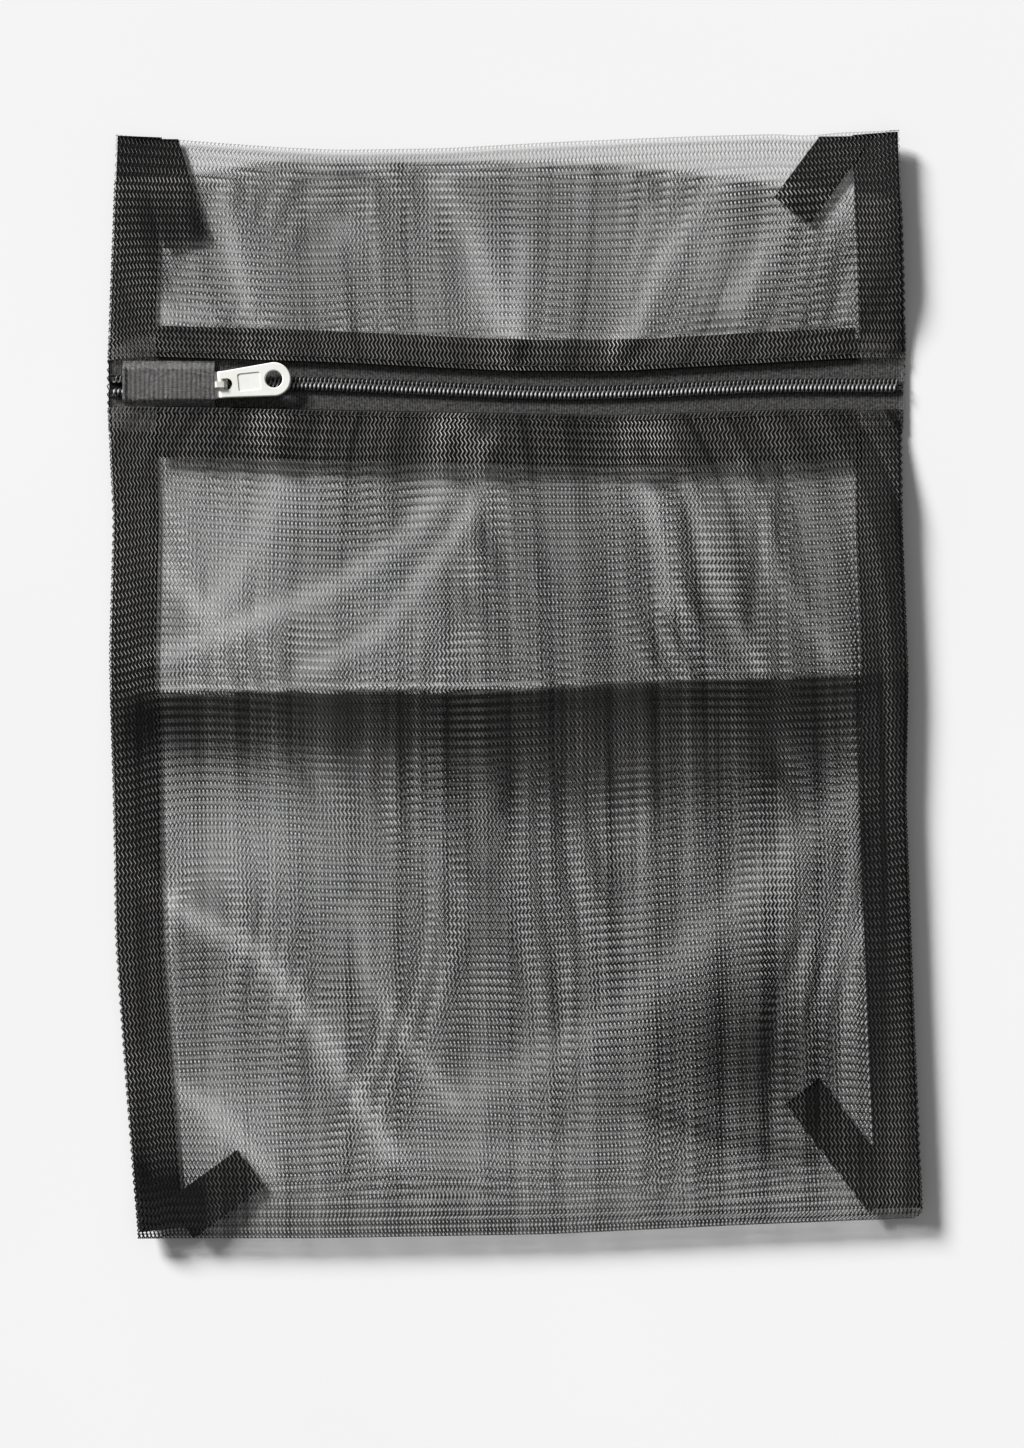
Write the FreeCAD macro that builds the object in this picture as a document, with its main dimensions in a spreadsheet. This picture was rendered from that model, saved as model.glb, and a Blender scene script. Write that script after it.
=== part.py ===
"""Zipped mesh laundry bag, lying flat and closed, as a parametric FreeCAD document.

Frame: millimetres, +Z up.  The bag lies on its back panel with the zip facing up.
X runs along the zip, +Y points to the bag's top fold, and the origin is under the
middle of the bag, on the surface that it lies on.  Pieces of the zip are drawn
about the zip's own centre line and moved to it by their Placement.
"""

import FreeCAD, Part
import os
import re
import Sketcher

# The driving dimensions: name, value in millimetres (or degrees), what it is.
SIZES = (
    ("top_y", 206.8, "top fold of the bag"),
    ("bottom_left_y", -206.8, "bottom fold at its left end"),
    ("bottom_right_y", -199.0, "bottom fold at its right end"),
    ("top_left_x", -149.4, "left seam at the top fold"),
    ("zip_left_x", -152.8, "left seam at the zip"),
    ("mid_left_x", -150.0, "left seam below the middle"),
    ("bottom_left_x", -140.1, "left seam at the bottom fold"),
    ("top_right_x", 144.2, "right seam at the top fold"),
    ("zip_right_x", 147.2, "right seam at the zip"),
    ("mid_right_x", 146.5, "right seam near the middle"),
    ("bottom_right_x", 152.8, "right seam at the bottom fold"),
    ("mid_left_y", -96.0, "height of the left seam's lower bend"),
    ("mid_right_y", 0.0, "height of the right seam's lower bend"),
    ("mesh_thick", 0.5, "thickness of the knitted mesh"),
    ("rim_height", 2.8, "top of the front panels at their folded rims"),
    ("lower_loft", 5.7, "top of the lower front panel, puffed up"),
    ("upper_loft", 5.5, "top of the upper front panel, puffed up"),
    ("slope_run", 25.0, "width of the sloping border of a front panel"),
    ("zip_y", 111.8, "centre line of the zip"),
    ("lip_gap", 9.0, "zip centre line to the folded lip of either panel"),
    ("binding_base", 0.6, "underside of the seam bindings"),
    ("binding_top", 1.55, "top of the seam bindings"),
    ("binding_width", 16.5, "width of a folded seam binding"),
    ("binding_inset", 0.9, "side seam's outer edge to its binding"),
    ("seam_room", 1.6, "gap between a side binding and a zip binding's end"),
    ("tail_base", 1.5, "underside of the loose ends"),
    ("tail_top", 2.1, "top of the loose ends"),
    ("zip_binding_near", 7.6, "zip centre line to the zip bindings"),
    ("upper_binding_far", 19.6, "zip centre line to the upper zip binding's far edge"),
    ("lower_binding_far", 26.6, "zip centre line to the lower zip binding's far edge"),
    ("tape_base", 1.65, "underside of the zip tapes"),
    ("tape_top", 2.2, "top of the zip tapes"),
    ("tape_near", 0.1, "zip centre line to a tape's inner edge when closed"),
    ("tape_far", 16.0, "zip centre line to a tape's outer edge when closed"),
    ("coil_near", 0.15, "zip centre line to a coil when closed"),
    ("coil_far", 2.65, "zip centre line to a coil's outer side when closed"),
    ("coil_top", 4.0, "top of the coils"),
    ("core_size", 1.0, "width and height of the cord inside a coil"),
    ("core_margin", 0.75, "coil's inner side to its cord"),
    ("thread_near", 2.85, "zip centre line to the thread that sews a coil on"),
    ("thread_far", 3.25, "far side of the same thread"),
    ("thread_top", 2.5, "top of the thread that sews a coil on"),
    ("spread", 1.35, "how far the slider's wedge spreads each side of the zip"),
    ("spread_start", -109.5, "where the closed zip starts to spread"),
    ("spread_end", -114.5, "where the zip is fully spread"),
    ("tape_inset", 1.2, "side seam to the ends of the zip tapes"),
    ("slider_front", -118.2, "wide end of the slider"),
    ("slider_waist", -114.0, "where the slider starts to narrow"),
    ("slider_neck", -109.0, "where the slider reaches its narrow width"),
    ("slider_rear", -106.9, "narrow end of the slider"),
    ("slider_wide", 5.7, "half width of the slider's wide end"),
    ("slider_narrow", 4.5, "half width of the slider's narrow end"),
    ("flange_wide", 4.95, "zip centre line to the side flanges, wide end"),
    ("flange_narrow", 3.7, "zip centre line to the side flanges, narrow end"),
    ("wedge_start", -117.6, "wide end of the slider's wedge"),
    ("wedge_shoulder", -115.0, "where the wedge starts to narrow"),
    ("wedge_end", -112.0, "tip of the wedge"),
    ("wedge_half", 1.2, "half width of the wedge"),
    ("lower_plate_base", 0.75, "underside of the slider's lower plate"),
    ("lower_plate_top", 1.45, "top of the slider's lower plate"),
    ("flange_base", 2.45, "lower edge of the slider's side flanges"),
    ("upper_plate_base", 4.2, "underside of the slider's upper plate"),
    ("upper_plate_top", 4.95, "top of the slider's upper plate"),
    ("pivot_x", -109.2, "axis of the puller's pivot along the zip"),
    ("pivot_z", 6.05, "axis of the puller's pivot above the ground"),
    ("crown_half", 1.1, "half width of the crown that holds the puller"),
    ("crown_reach", 2.15, "pivot to the outside of the crown's legs"),
    ("crown_room", 1.25, "pivot to the inside of the crown's legs"),
    ("crown_arch", 7.25, "underside of the crown"),
    ("crown_top", 8.3, "top of the crown"),
    ("puller_thick", 2.0, "thickness of the puller tab"),
    ("puller_yaw", 6.0, "angle at which the puller lies across the zip"),
    ("puller_base_half", 5.0, "half width of the puller at its pivot"),
    ("puller_end_half", 6.3, "radius of the puller's round end"),
    ("puller_hole_x", 19.9, "pivot to the centre of the puller's round end"),
    ("puller_hole_r", 3.2, "radius of the hole in the puller"),
    ("slot_half", 2.2, "half width of the slot that clears the crown"),
    ("slot_end", 4.3, "pivot to the far end of that slot"),
    ("recess_start", 6.4, "pivot to the near end of the sunken panel"),
    ("recess_end", 15.0, "pivot to the far end of the sunken panel"),
    ("recess_half", 3.4, "half width of the sunken panel"),
    ("recess_depth", 0.3, "depth of the sunken panel"),
    ("recess_round", 0.9, "corner radius of the sunken panel"),
    ("weld", 0.1, "how far one block of the slider sinks into the next"),
    ("wedge_tip", 0.15, "half width of the wedge where the two halves meet"),
    ("crown_bevel", 0.8, "bevel at the crown's top corners"),
    ("garage_slope", 0.6, "how far the garage's walls lean in from hem to roof"),
    ("side_stitch_share", 0.75, "where the side thread lies across the binding, from its outer edge"),
    ("side_stitch_top", 148.8, "upper end of the side thread, below the overlapping top tails"),
    ("zip_stitch_gap", 20, "half the break in the side thread where the zip crosses"),
    ("zip_stitch_end", 8, "from the side seam to the first stitch along the zip"),
    ("lip_stitch", 1.6, "from a lip's edge to its stitches"),
    ("lip_stitch_lift", 0.3, "height of the lip stitches above the lip's rim"),
    ("stitch_lift", 0.03, "height of the other stitches above what they are sewn to"),
    ("garage_stitch_inset", 1.2, "from the garage's sewn end to its stitches"),
    ("garage_stitch_half", 5, "half the height of the garage's row of stitches"),
    ("puller_round", 0.45, "rounding of the puller's outer edges and hole"),
    ("slider_round", 0.35, "rounding of the slider's upper plate"),
    ("shank_length", 1.5, "straight part of the puller next to its pivot"),
    ("garage_left", -146.1, "sewn end of the elastic garage"),
    ("garage_right", -111.7, "mouth of the elastic garage"),
    ("garage_half", 8.7, "half width of the garage"),
    ("garage_wall_out", 7.4, "zip centre line to the outside of the raised middle"),
    ("garage_wall_in", 6.6, "zip centre line to the inside of the raised middle"),
    ("garage_base", 2.25, "underside of the garage's sewn borders"),
    ("garage_hem", 3.05, "top of the garage's sewn borders"),
    ("garage_roof_in", 5.15, "underside of the garage's roof"),
    ("garage_roof_out", 5.95, "top of the garage's roof"),
    ("stitch_length", 2.0, "length of one stitch"),
    ("stitch_pitch", 3.0, "distance from one stitch to the next"),
    ("stitch_wide", 0.4, "width of a sewing thread"),
    ("stitch_high", 0.25, "height of a sewing thread"),
)


def make_sheet(document):
    """The spreadsheet that drives every part."""
    sheet = document.addObject("Spreadsheet::Sheet", "Sizes")
    for row, (alias, value, meaning) in enumerate(SIZES, start=1):
        sheet.set(f"A{row}", str(value))
        sheet.setAlias(f"A{row}", alias)
        sheet.set(f"B{row}", meaning)
    document.recompute()
    return sheet


document = FreeCAD.newDocument("LaundryBag")
sheet = make_sheet(document)


def size(name):
    """One driving dimension as a number."""
    return float(sheet.get(name))


def bound(formula):
    """A formula of size names, written as an expression on the spreadsheet."""
    return re.sub(r"[a-z_]+", lambda word: "Sizes." + word.group(), formula)


def new_body(label, on_zip=False):
    """An empty body; on_zip moves its origin to the zip's centre line."""
    body = document.addObject("PartDesign::Body", label)
    body.Label = label
    body.AllowCompound = True
    if on_zip:
        body.setExpression("Placement.Base.y", bound("zip_y"))
    return body


def new_sketch(body, role="XY_Plane", offset="0"):
    """A sketch on one of the body's origin planes, shifted along its normal."""
    planes = body.Origin.OriginFeatures
    plane = next(feature for feature in planes if feature.Role == role)
    sketch = body.newObject("Sketcher::SketchObject", f"{body.Label}_outline")
    sketch.AttachmentSupport = [(plane, "")]
    sketch.MapMode = "FlatFace"
    sketch.setExpression("AttachmentOffset.Base.z", bound(offset))
    return sketch


def worth(sketch, formula):
    """What a formula of size names comes to."""
    value = sketch.evalExpression(bound(formula))
    return float(getattr(value, "Value", value))


def pin_point(sketch, geometry, end, across, up):
    """Hold one point of the sketch at a place given by two formulas."""
    for kind, formula in (("DistanceX", across), ("DistanceY", up)):
        rule = Sketcher.Constraint(kind, -1, 1, geometry, end, worth(sketch, formula))
        number = sketch.addConstraint(rule)
        sketch.setExpression(f"Constraints[{number}]", bound(formula))


def draw_polygon(sketch, corners):
    """A closed polygon whose corners are pairs of formulas."""
    first = sketch.GeometryCount
    count = len(corners)
    places = [FreeCAD.Vector(worth(sketch, x), worth(sketch, y), 0) for x, y in corners]
    for index in range(count):
        side = Part.LineSegment(places[index], places[(index + 1) % count])
        sketch.addGeometry(side, False)
    for index in range(count):
        following = first + (index + 1) % count
        joined = Sketcher.Constraint("Coincident", first + index, 2, following, 1)
        sketch.addConstraint(joined)
    for index, (across, up) in enumerate(corners):
        pin_point(sketch, first + index, 1, across, up)


def draw_circle(sketch, across, up, radius):
    """A circle whose centre and radius are formulas."""
    value = worth(sketch, radius)
    circle = Part.Circle(FreeCAD.Vector(1, 1, 0), FreeCAD.Vector(0, 0, 1), value)
    geometry = sketch.addGeometry(circle, False)
    pin_point(sketch, geometry, 3, across, up)
    number = sketch.addConstraint(Sketcher.Constraint("Radius", geometry, value))
    sketch.setExpression(f"Constraints[{number}]", bound(radius))


def add_pad(body, sketch, length):
    """Pad a sketch along its normal by a formula."""
    pad = body.newObject("PartDesign::Pad", f"{body.Label}_pad")
    pad.Profile = sketch
    pad.setExpression("Length", bound(length))
    body.Tip = pad
    document.recompute()
    return pad


def add_slab(body, corners, base, top):
    """A polygon in plan, padded from one height to another."""
    sketch = new_sketch(body, "XY_Plane", base)
    draw_polygon(sketch, corners)
    return add_pad(body, sketch, f"({top}) - ({base})")


def cut_up(body, sketch, depth):
    """Cut a sketch away in the direction of its normal."""
    before = body.Shape.Volume
    pocket = body.newObject("PartDesign::Pocket", f"{body.Label}_cut")
    pocket.Profile = sketch
    pocket.Reversed = True
    pocket.setExpression("Length", bound(depth))
    body.Tip = pocket
    document.recompute()
    if body.Shape.Volume > before - 0.01:
        raise RuntimeError(f"{body.Label}: a cut removed nothing")
    return pocket


def round_edges(body, radius, chosen):
    """Round every edge of the body for which chosen(edge) is true."""
    rough = body.Tip
    names = [f"Edge{number}" for number, edge in enumerate(rough.Shape.Edges, 1) if chosen(edge)]
    fillet = body.newObject("PartDesign::Fillet", f"{body.Label}_round")
    fillet.Base = (rough, names)
    fillet.setExpression("Radius", bound(radius))
    body.Tip = fillet
    document.recompute()


def add_loft(body, kind, levels):
    """A ruled loft through polygons, each a (corners, height) pair."""
    sketches = []
    for corners, height in levels:
        sketch = new_sketch(body, "XY_Plane", height)
        draw_polygon(sketch, corners)
        sketches.append(sketch)
    loft = body.newObject(f"PartDesign::{kind}", f"{body.Label}_loft")
    loft.Profile = sketches[0]
    loft.Sections = sketches[1:]
    loft.Ruled = True
    body.Tip = loft
    document.recompute()
    return loft


# ---------------------------------------------------------------- mesh panels

BAG_CORNERS = (
    ("top_left_x", "top_y"),
    ("zip_left_x", "zip_y"),
    ("mid_left_x", "mid_left_y"),
    ("bottom_left_x", "bottom_left_y"),
    ("bottom_right_x", "bottom_right_y"),
    ("mid_right_x", "mid_right_y"),
    ("zip_right_x", "zip_y"),
    ("top_right_x", "top_y"),
)


def shifted(corners, moves):
    """Corners moved by formulas: each move is a pair added to its corner."""
    return [(x + dx, y + dy) for (x, y), (dx, dy) in zip(corners, moves)]


def make_back_panel():
    """The panel that the bag lies on, flat, to the outline of the whole bag."""
    body = new_body("mesh_back")
    add_slab(body, BAG_CORNERS, "0", "mesh_thick")


def make_front_panel(label, corners, inward, skirt, open_side, loft_top):
    """A front panel: a shallow tray, mouth down, with sloping borders.

    inward gives the way from each corner to the tray's flat middle, skirt the way
    from each corner to the inside of its upright rim, and open_side what is added
    where the panel ends in a lip over the zip and has no upright rim.
    """
    body = new_body(label)
    middle = shifted(corners, [(x + " slope_run", y + " slope_run") for x, y in inward])
    inner = shifted(corners, [(x + " mesh_thick", y + " mesh_thick") for x, y in skirt])
    inner = shifted(inner, open_side)
    outside = [(corners, "mesh_thick"), (corners, "rim_height"), (middle, loft_top)]
    add_loft(body, "AdditiveLoft", outside)
    hollow = [
        (inner, "mesh_thick - 0.2"),
        (inner, "rim_height - mesh_thick"),
        (middle, f"{loft_top} - mesh_thick"),
    ]
    add_loft(body, "SubtractiveLoft", hollow)


def make_front_panels():
    """The short panel above the zip and the long one below it."""
    lower_lip = "zip_y - lip_gap"
    upper_lip = "zip_y + lip_gap"
    lower = [
        ("zip_left_x", lower_lip),
        ("mid_left_x", "mid_left_y"),
        ("bottom_left_x", "bottom_left_y"),
        ("bottom_right_x", "bottom_right_y"),
        ("mid_right_x", "mid_right_y"),
        ("zip_right_x", lower_lip),
    ]
    to_middle = [(" +", " -"), (" +", " + 0 *"), (" +", " +")]
    to_middle += [(" -", " +"), (" -", " + 0 *"), (" -", " -")]
    past_lip = [("", " + 1.5")] + [("", "")] * 4 + [("", " + 1.5")]
    make_front_panel("mesh_front_lower", lower, to_middle, to_middle, past_lip, "lower_loft")
    upper = [
        ("top_left_x", "top_y"),
        ("zip_left_x", upper_lip),
        ("zip_right_x", upper_lip),
        ("top_right_x", "top_y"),
    ]
    to_middle = [(" +", " -"), (" +", " +"), (" -", " +"), (" -", " -")]
    past_lip = [("", ""), ("", " - 1.5"), ("", " - 1.5"), ("", "")]
    make_front_panel("mesh_front_upper", upper, to_middle, to_middle, past_lip, "upper_loft")


# ------------------------------------------------------------- seam bindings


def from_corner(corner_x, corner_y, offsets):
    """Corners of an outline, given by their distances from a corner of the bag."""
    return [(f"{corner_x} + {dx}", f"{corner_y} + {dy}") for dx, dy in offsets]


def make_side_binding(label, seam, sign, tails):
    """A folded tape along one side seam, inside the bag, with a loose end at each fold."""
    body = new_body(label)
    outer = [(f"{x} {sign} binding_inset", y) for x, y in seam]
    inner = [(f"{x} {sign} binding_inset {sign} binding_width", y) for x, y in seam]
    add_slab(body, outer + inner[::-1], "binding_base", "binding_top")
    for tail in tails:
        add_slab(body, tail, "tail_base", "tail_top")


def make_side_bindings():
    """The left and the right seam binding, with their loose ends turned inwards."""
    left = [
        ("top_left_x", "top_y - 1.2"),
        ("zip_left_x", "zip_y"),
        ("mid_left_x", "mid_left_y"),
        ("bottom_left_x", "bottom_left_y + 1.2"),
    ]
    right = [
        ("bottom_right_x", "bottom_right_y + 1.2"),
        ("mid_right_x", "mid_right_y"),
        ("zip_right_x", "zip_y"),
        ("top_right_x", "top_y - 1.2"),
    ]
    top_left = ((10, -2), (24, -2), (30, -18), (36.5, -32), (36.5, -40), (22, -56), (13, -57))
    bottom_left = ((14, 16), (32.5, 30.5), (45, 27), (50, 18), (34, 2.5), (8, 2.5))
    bottom_right = ((-10, 14), (-38, 50.5), (-51.5, 43.5), (-33, 18), (-20, 5), (-12, 3))
    top_right = ((-12, -3), (-31, -3), (-37.5, -13), (-40.5, -25), (-35, -31), (-29, -28), (-14, -8))
    left_tails = (
        from_corner("top_left_x", "top_y", top_left),
        from_corner("bottom_left_x", "bottom_left_y", bottom_left),
    )
    right_tails = (
        from_corner("bottom_right_x", "bottom_right_y", bottom_right),
        from_corner("top_right_x", "top_y", top_right),
    )
    make_side_binding("binding_left", left, "+", left_tails)
    make_side_binding("binding_right", right, "-", right_tails)


def make_zip_bindings():
    """The folded hems under the two lips, between the side bindings."""
    left = "zip_left_x + binding_inset + binding_width + seam_room"
    right = "zip_right_x - binding_inset - binding_width - seam_room"
    for label, sign, far in (
        ("binding_zip_upper", "+", "upper_binding_far"),
        ("binding_zip_lower", "-", "lower_binding_far"),
    ):
        body = new_body(label, on_zip=True)
        near_y = f"0 {sign} zip_binding_near"
        far_y = f"0 {sign} {far}"
        corners = [(left, near_y), (right, near_y), (right, far_y), (left, far_y)]
        add_slab(body, corners, "binding_base", "binding_top")


# ------------------------------------------------------------------ the zip


def zip_band(sign, near, far):
    """Plan of a strip along one half of the zip, spread apart left of the slider."""
    left = "zip_left_x + tape_inset"
    right = "zip_right_x - tape_inset"
    inner = [
        (right, f"{sign} {near}"),
        ("spread_start", f"{sign} {near}"),
        ("spread_end", f"{sign} {near} {sign} spread"),
        (left, f"{sign} {near} {sign} spread"),
    ]
    outer = [
        (left, f"{sign} {far} {sign} spread"),
        ("spread_end", f"{sign} {far} {sign} spread"),
        ("spread_start", f"{sign} {far}"),
        (right, f"{sign} {far}"),
    ]
    return [(x, "0 " + y) for x, y in inner + outer]


def make_zip_halves():
    """Tape, coil, the cord inside the coil and its sewing thread, on both sides."""
    for side, sign in (("upper", "+"), ("lower", "-")):
        tape = new_body(f"zip_tape_{side}", on_zip=True)
        add_slab(tape, zip_band(sign, "tape_near", "tape_far"), "tape_base", "tape_top")
        coil = new_body(f"coil_{side}", on_zip=True)
        add_slab(coil, zip_band(sign, "coil_near", "coil_far"), "tape_top", "coil_top")
        sketch = new_sketch(coil, "XY_Plane", "tape_top")
        channel = zip_band(sign, *core_band(sign, 0.05))
        draw_polygon(sketch, channel)
        cut_up(coil, sketch, "core_size + 0.05")
        core = new_body(f"coil_cord_{side}", on_zip=True)
        cord = zip_band(sign, *core_band(sign, 0.0))
        add_slab(core, cord, "tape_top", "tape_top + core_size")
        thread = new_body(f"coil_thread_{side}", on_zip=True)
        band = zip_band(sign, "thread_near", "thread_far")
        add_slab(thread, band, "tape_top", "thread_top")


def core_band(sign, room):
    """Near and far side of the cord inside a coil, with room left round it."""
    near = f"coil_near {sign} core_margin"
    far = f"{near} {sign} core_size"
    if sign == "-":
        return f"{near} + {room}", f"{far} - {room}"
    return f"{near} - {room}", f"{far} + {room}"


# -------------------------------------------------------- slider and puller


def slider_plan(wide, narrow, front, rear):
    """Plan of the slider: parallel at the wide end, then narrowing to the rear."""
    upper = [(front, wide), ("slider_waist", wide), ("slider_neck", narrow), (rear, narrow)]
    lower = [(x, f"0 - {y}") for x, y in reversed(upper)]
    return upper + lower


def make_slider():
    """Two plates joined by a wedge, side flanges, and the crown that holds the puller."""
    body = new_body("slider_body", on_zip=True)
    plate = slider_plan("slider_wide", "slider_narrow", "slider_front", "slider_rear")
    add_slab(body, plate, "lower_plate_base", "lower_plate_top")
    wedge = [
        ("wedge_start", "wedge_half"),
        ("wedge_shoulder", "wedge_half"),
        ("wedge_end", "wedge_tip"),
        ("wedge_end", "0 - wedge_tip"),
        ("wedge_shoulder", "0 - wedge_half"),
        ("wedge_start", "0 - wedge_half"),
    ]
    add_slab(body, wedge, "lower_plate_top - weld", "upper_plate_base + weld")
    add_slab(body, plate, "upper_plate_base", "upper_plate_top")
    round_edges(body, "slider_round", is_slider_rim)
    for sign in ("+", "-"):
        outside = [
            ("slider_front", "slider_wide"),
            ("slider_waist", "slider_wide"),
            ("slider_neck", "slider_narrow"),
            ("slider_rear", "slider_narrow"),
            ("slider_rear", "flange_narrow"),
            ("slider_neck", "flange_narrow"),
            ("slider_waist", "flange_wide"),
            ("slider_front", "flange_wide"),
        ]
        flange = [(x, f"0 {sign} {y}") for x, y in outside]
        add_slab(body, flange, "flange_base", "upper_plate_base + weld")
    add_crown(body)


def add_crown(body):
    """The bridge over the puller's pivot, standing on the upper plate."""
    sketch = new_sketch(body, "XZ_Plane", "0 - crown_half")
    foot = "upper_plate_top - weld"
    corner = "crown_top - crown_bevel"
    outside = [
        ("pivot_x - crown_reach", foot),
        ("pivot_x - crown_reach", corner),
        ("pivot_x - crown_reach + crown_bevel", "crown_top"),
        ("pivot_x + crown_reach - crown_bevel", "crown_top"),
        ("pivot_x + crown_reach", corner),
        ("pivot_x + crown_reach", foot),
        ("pivot_x + crown_room", foot),
        ("pivot_x + crown_room", "crown_arch"),
        ("pivot_x - crown_room", "crown_arch"),
        ("pivot_x - crown_room", foot),
    ]
    draw_polygon(sketch, outside)
    add_pad(body, sketch, "2 * crown_half")


def is_slider_rim(edge):
    """True for the outline edges of the slider's upper plate."""
    box = edge.BoundBox
    return box.ZLength < 1e-4 and abs(box.ZMax - size("upper_plate_top")) < 1e-4


def make_puller():
    """The tab: a round pivot, a slot for the crown, a sunken panel and a round hole."""
    body = new_body("puller_tab")
    base = "0 - puller_thick / 2"
    plan = [
        ("shank_length", "puller_base_half"),
        ("0", "puller_base_half"),
        ("0", "0 - puller_base_half"),
        ("shank_length", "0 - puller_base_half"),
        ("puller_hole_x", "0 - puller_end_half"),
        ("puller_hole_x", "puller_end_half"),
    ]
    add_slab(body, plan, base, base + " + puller_thick")
    end = new_sketch(body, "XY_Plane", base)
    draw_circle(end, "puller_hole_x", "0", "puller_end_half")
    add_pad(body, end, "puller_thick")
    cut_crown_slot(body, base)
    pivot = new_sketch(body, "XZ_Plane", "0 - puller_base_half")
    draw_circle(pivot, "0", "0", "puller_thick / 2")
    add_pad(body, pivot, "2 * puller_base_half")
    hole = new_sketch(body, "XY_Plane", base)
    draw_circle(hole, "puller_hole_x", "0", "puller_hole_r")
    cut_up(body, hole, "puller_thick")
    panel = [
        ("recess_start", "recess_half"),
        ("recess_start", "0 - recess_half"),
        ("recess_end", "0 - recess_half"),
        ("recess_end", "recess_half"),
    ]
    recess = new_sketch(body, "XY_Plane", "puller_thick / 2 - recess_depth")
    draw_polygon(recess, panel)
    cut_up(body, recess, "recess_depth")
    round_edges(body, "recess_round", is_panel_corner)
    round_edges(body, "puller_round", is_puller_rim)
    turn = FreeCAD.Rotation(FreeCAD.Vector(0, 0, 1), size("puller_yaw"))
    place = FreeCAD.Vector(size("pivot_x"), size("zip_y"), size("pivot_z"))
    body.Placement = FreeCAD.Placement(place, turn)


def cut_crown_slot(body, base):
    """The opening that the slider's crown stands in, round at its far end."""
    straight_end = "slot_end - slot_half"
    corners = [
        ("0 - 0.1", "slot_half"),
        ("0 - 0.1", "0 - slot_half"),
        (straight_end, "0 - slot_half"),
        (straight_end, "slot_half"),
    ]
    slot = new_sketch(body, "XY_Plane", base)
    draw_polygon(slot, corners)
    cut_up(body, slot, "puller_thick")
    slot_round = new_sketch(body, "XY_Plane", base)
    draw_circle(slot_round, straight_end, "0", "slot_half")
    cut_up(body, slot_round, "puller_thick")


def is_panel_corner(edge):
    """True for the short upright edges at the corners of the sunken panel."""
    box = edge.BoundBox
    upright = box.XLength < 1e-3 and box.YLength < 1e-3
    return upright and abs(box.ZLength - size("recess_depth")) < 1e-3


def is_puller_rim(edge):
    """True for the edges of the puller's outline and of its hole, on either face."""
    box = edge.BoundBox
    on_face = box.ZLength < 1e-4 and abs(abs(box.ZMax) - size("puller_thick") / 2) < 1e-4
    in_hole = hasattr(edge.Curve, "Radius") and abs(edge.Curve.Radius - size("puller_hole_r")) < 1e-3
    beyond_shank = box.XMax > size("shank_length") + 0.1
    outer = max(abs(box.YMin), abs(box.YMax)) > size("puller_base_half") - 0.1 and beyond_shank
    return on_face and (outer or in_hole)


def make_garage():
    """The elastic pocket that hides the slider, an open tunnel over the zip's end."""
    body = new_body("garage_elastic", on_zip=True)
    section = [
        ("garage_half", "garage_base"),
        ("garage_half", "garage_hem"),
        ("garage_wall_out", "garage_hem"),
        ("garage_wall_out - garage_slope", "garage_roof_out"),
    ]
    inside = [
        ("garage_wall_in - garage_slope", "garage_roof_in"),
        ("garage_wall_in", "garage_base"),
    ]
    right_half = [(f"0 - {y}", z) for y, z in section]
    left_half = [(y, z) for y, z in reversed(section)]
    under = [(y, z) for y, z in reversed(inside)] + [(f"0 - {y}", z) for y, z in inside]
    sketch = new_sketch(body, "YZ_Plane", "garage_left")
    draw_polygon(sketch, right_half + left_half + under)
    add_pad(body, sketch, "garage_right - garage_left")


# ------------------------------------------------------------------ stitches


def stitch_row(start, end, gap=None):
    """Stitches along a straight seam, one small solid each; none where gap holds y."""
    run = end - start
    along = FreeCAD.Vector(run).normalize()
    turn = FreeCAD.Rotation(FreeCAD.Vector(1, 0, 0), along)
    long, wide, high = size("stitch_length"), size("stitch_wide"), size("stitch_high")
    to_middle = FreeCAD.Placement(FreeCAD.Vector(-long / 2, -wide / 2, 0), FreeCAD.Rotation())
    pitch = size("stitch_pitch")
    solids = []
    for number in range(int(run.Length // pitch)):
        centre = start + along * (number + 0.5) * pitch
        if gap and gap[0] < centre.y < gap[1]:
            continue
        thread = Part.makeBox(long, wide, high)
        thread.Placement = FreeCAD.Placement(centre, turn).multiply(to_middle)
        solids.append(thread)
    return solids


def add_stitches(label, solids, height):
    """A feature that holds a row of stitches, lifted onto the cloth by its Placement."""
    feature = document.addObject("Part::Feature", label)
    feature.Label = label
    feature.Shape = Part.makeCompound(solids)
    feature.Placement = FreeCAD.Placement(FreeCAD.Vector(0, 0, height), FreeCAD.Rotation())


def make_side_stitches(side, zip_x, sign):
    """The thread along one side seam, broken where the zip crosses the binding."""
    centre = size("zip_y")
    inset = sign * (size("binding_inset") + size("side_stitch_share") * size("binding_width"))
    gap = (centre - size("zip_stitch_gap"), centre + size("zip_stitch_gap"))
    top = FreeCAD.Vector(size(f"top_{side}_x") + inset, size("side_stitch_top"), 0)
    at_zip = FreeCAD.Vector(zip_x + inset, centre, 0)
    at_bend = FreeCAD.Vector(size(f"mid_{side}_x") + inset, size(f"mid_{side}_y"), 0)
    corner = FreeCAD.Vector(size(f"bottom_{side}_x") + inset, size(f"bottom_{side}_y"), 0)
    low = (at_bend + corner) * 0.5
    solids = []
    for start, end in ((top, at_zip), (at_zip, at_bend), (at_bend, low)):
        solids += stitch_row(start, end, gap)
    add_stitches(f"stitch_{side}", solids, size("binding_top") + size("stitch_lift"))


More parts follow.
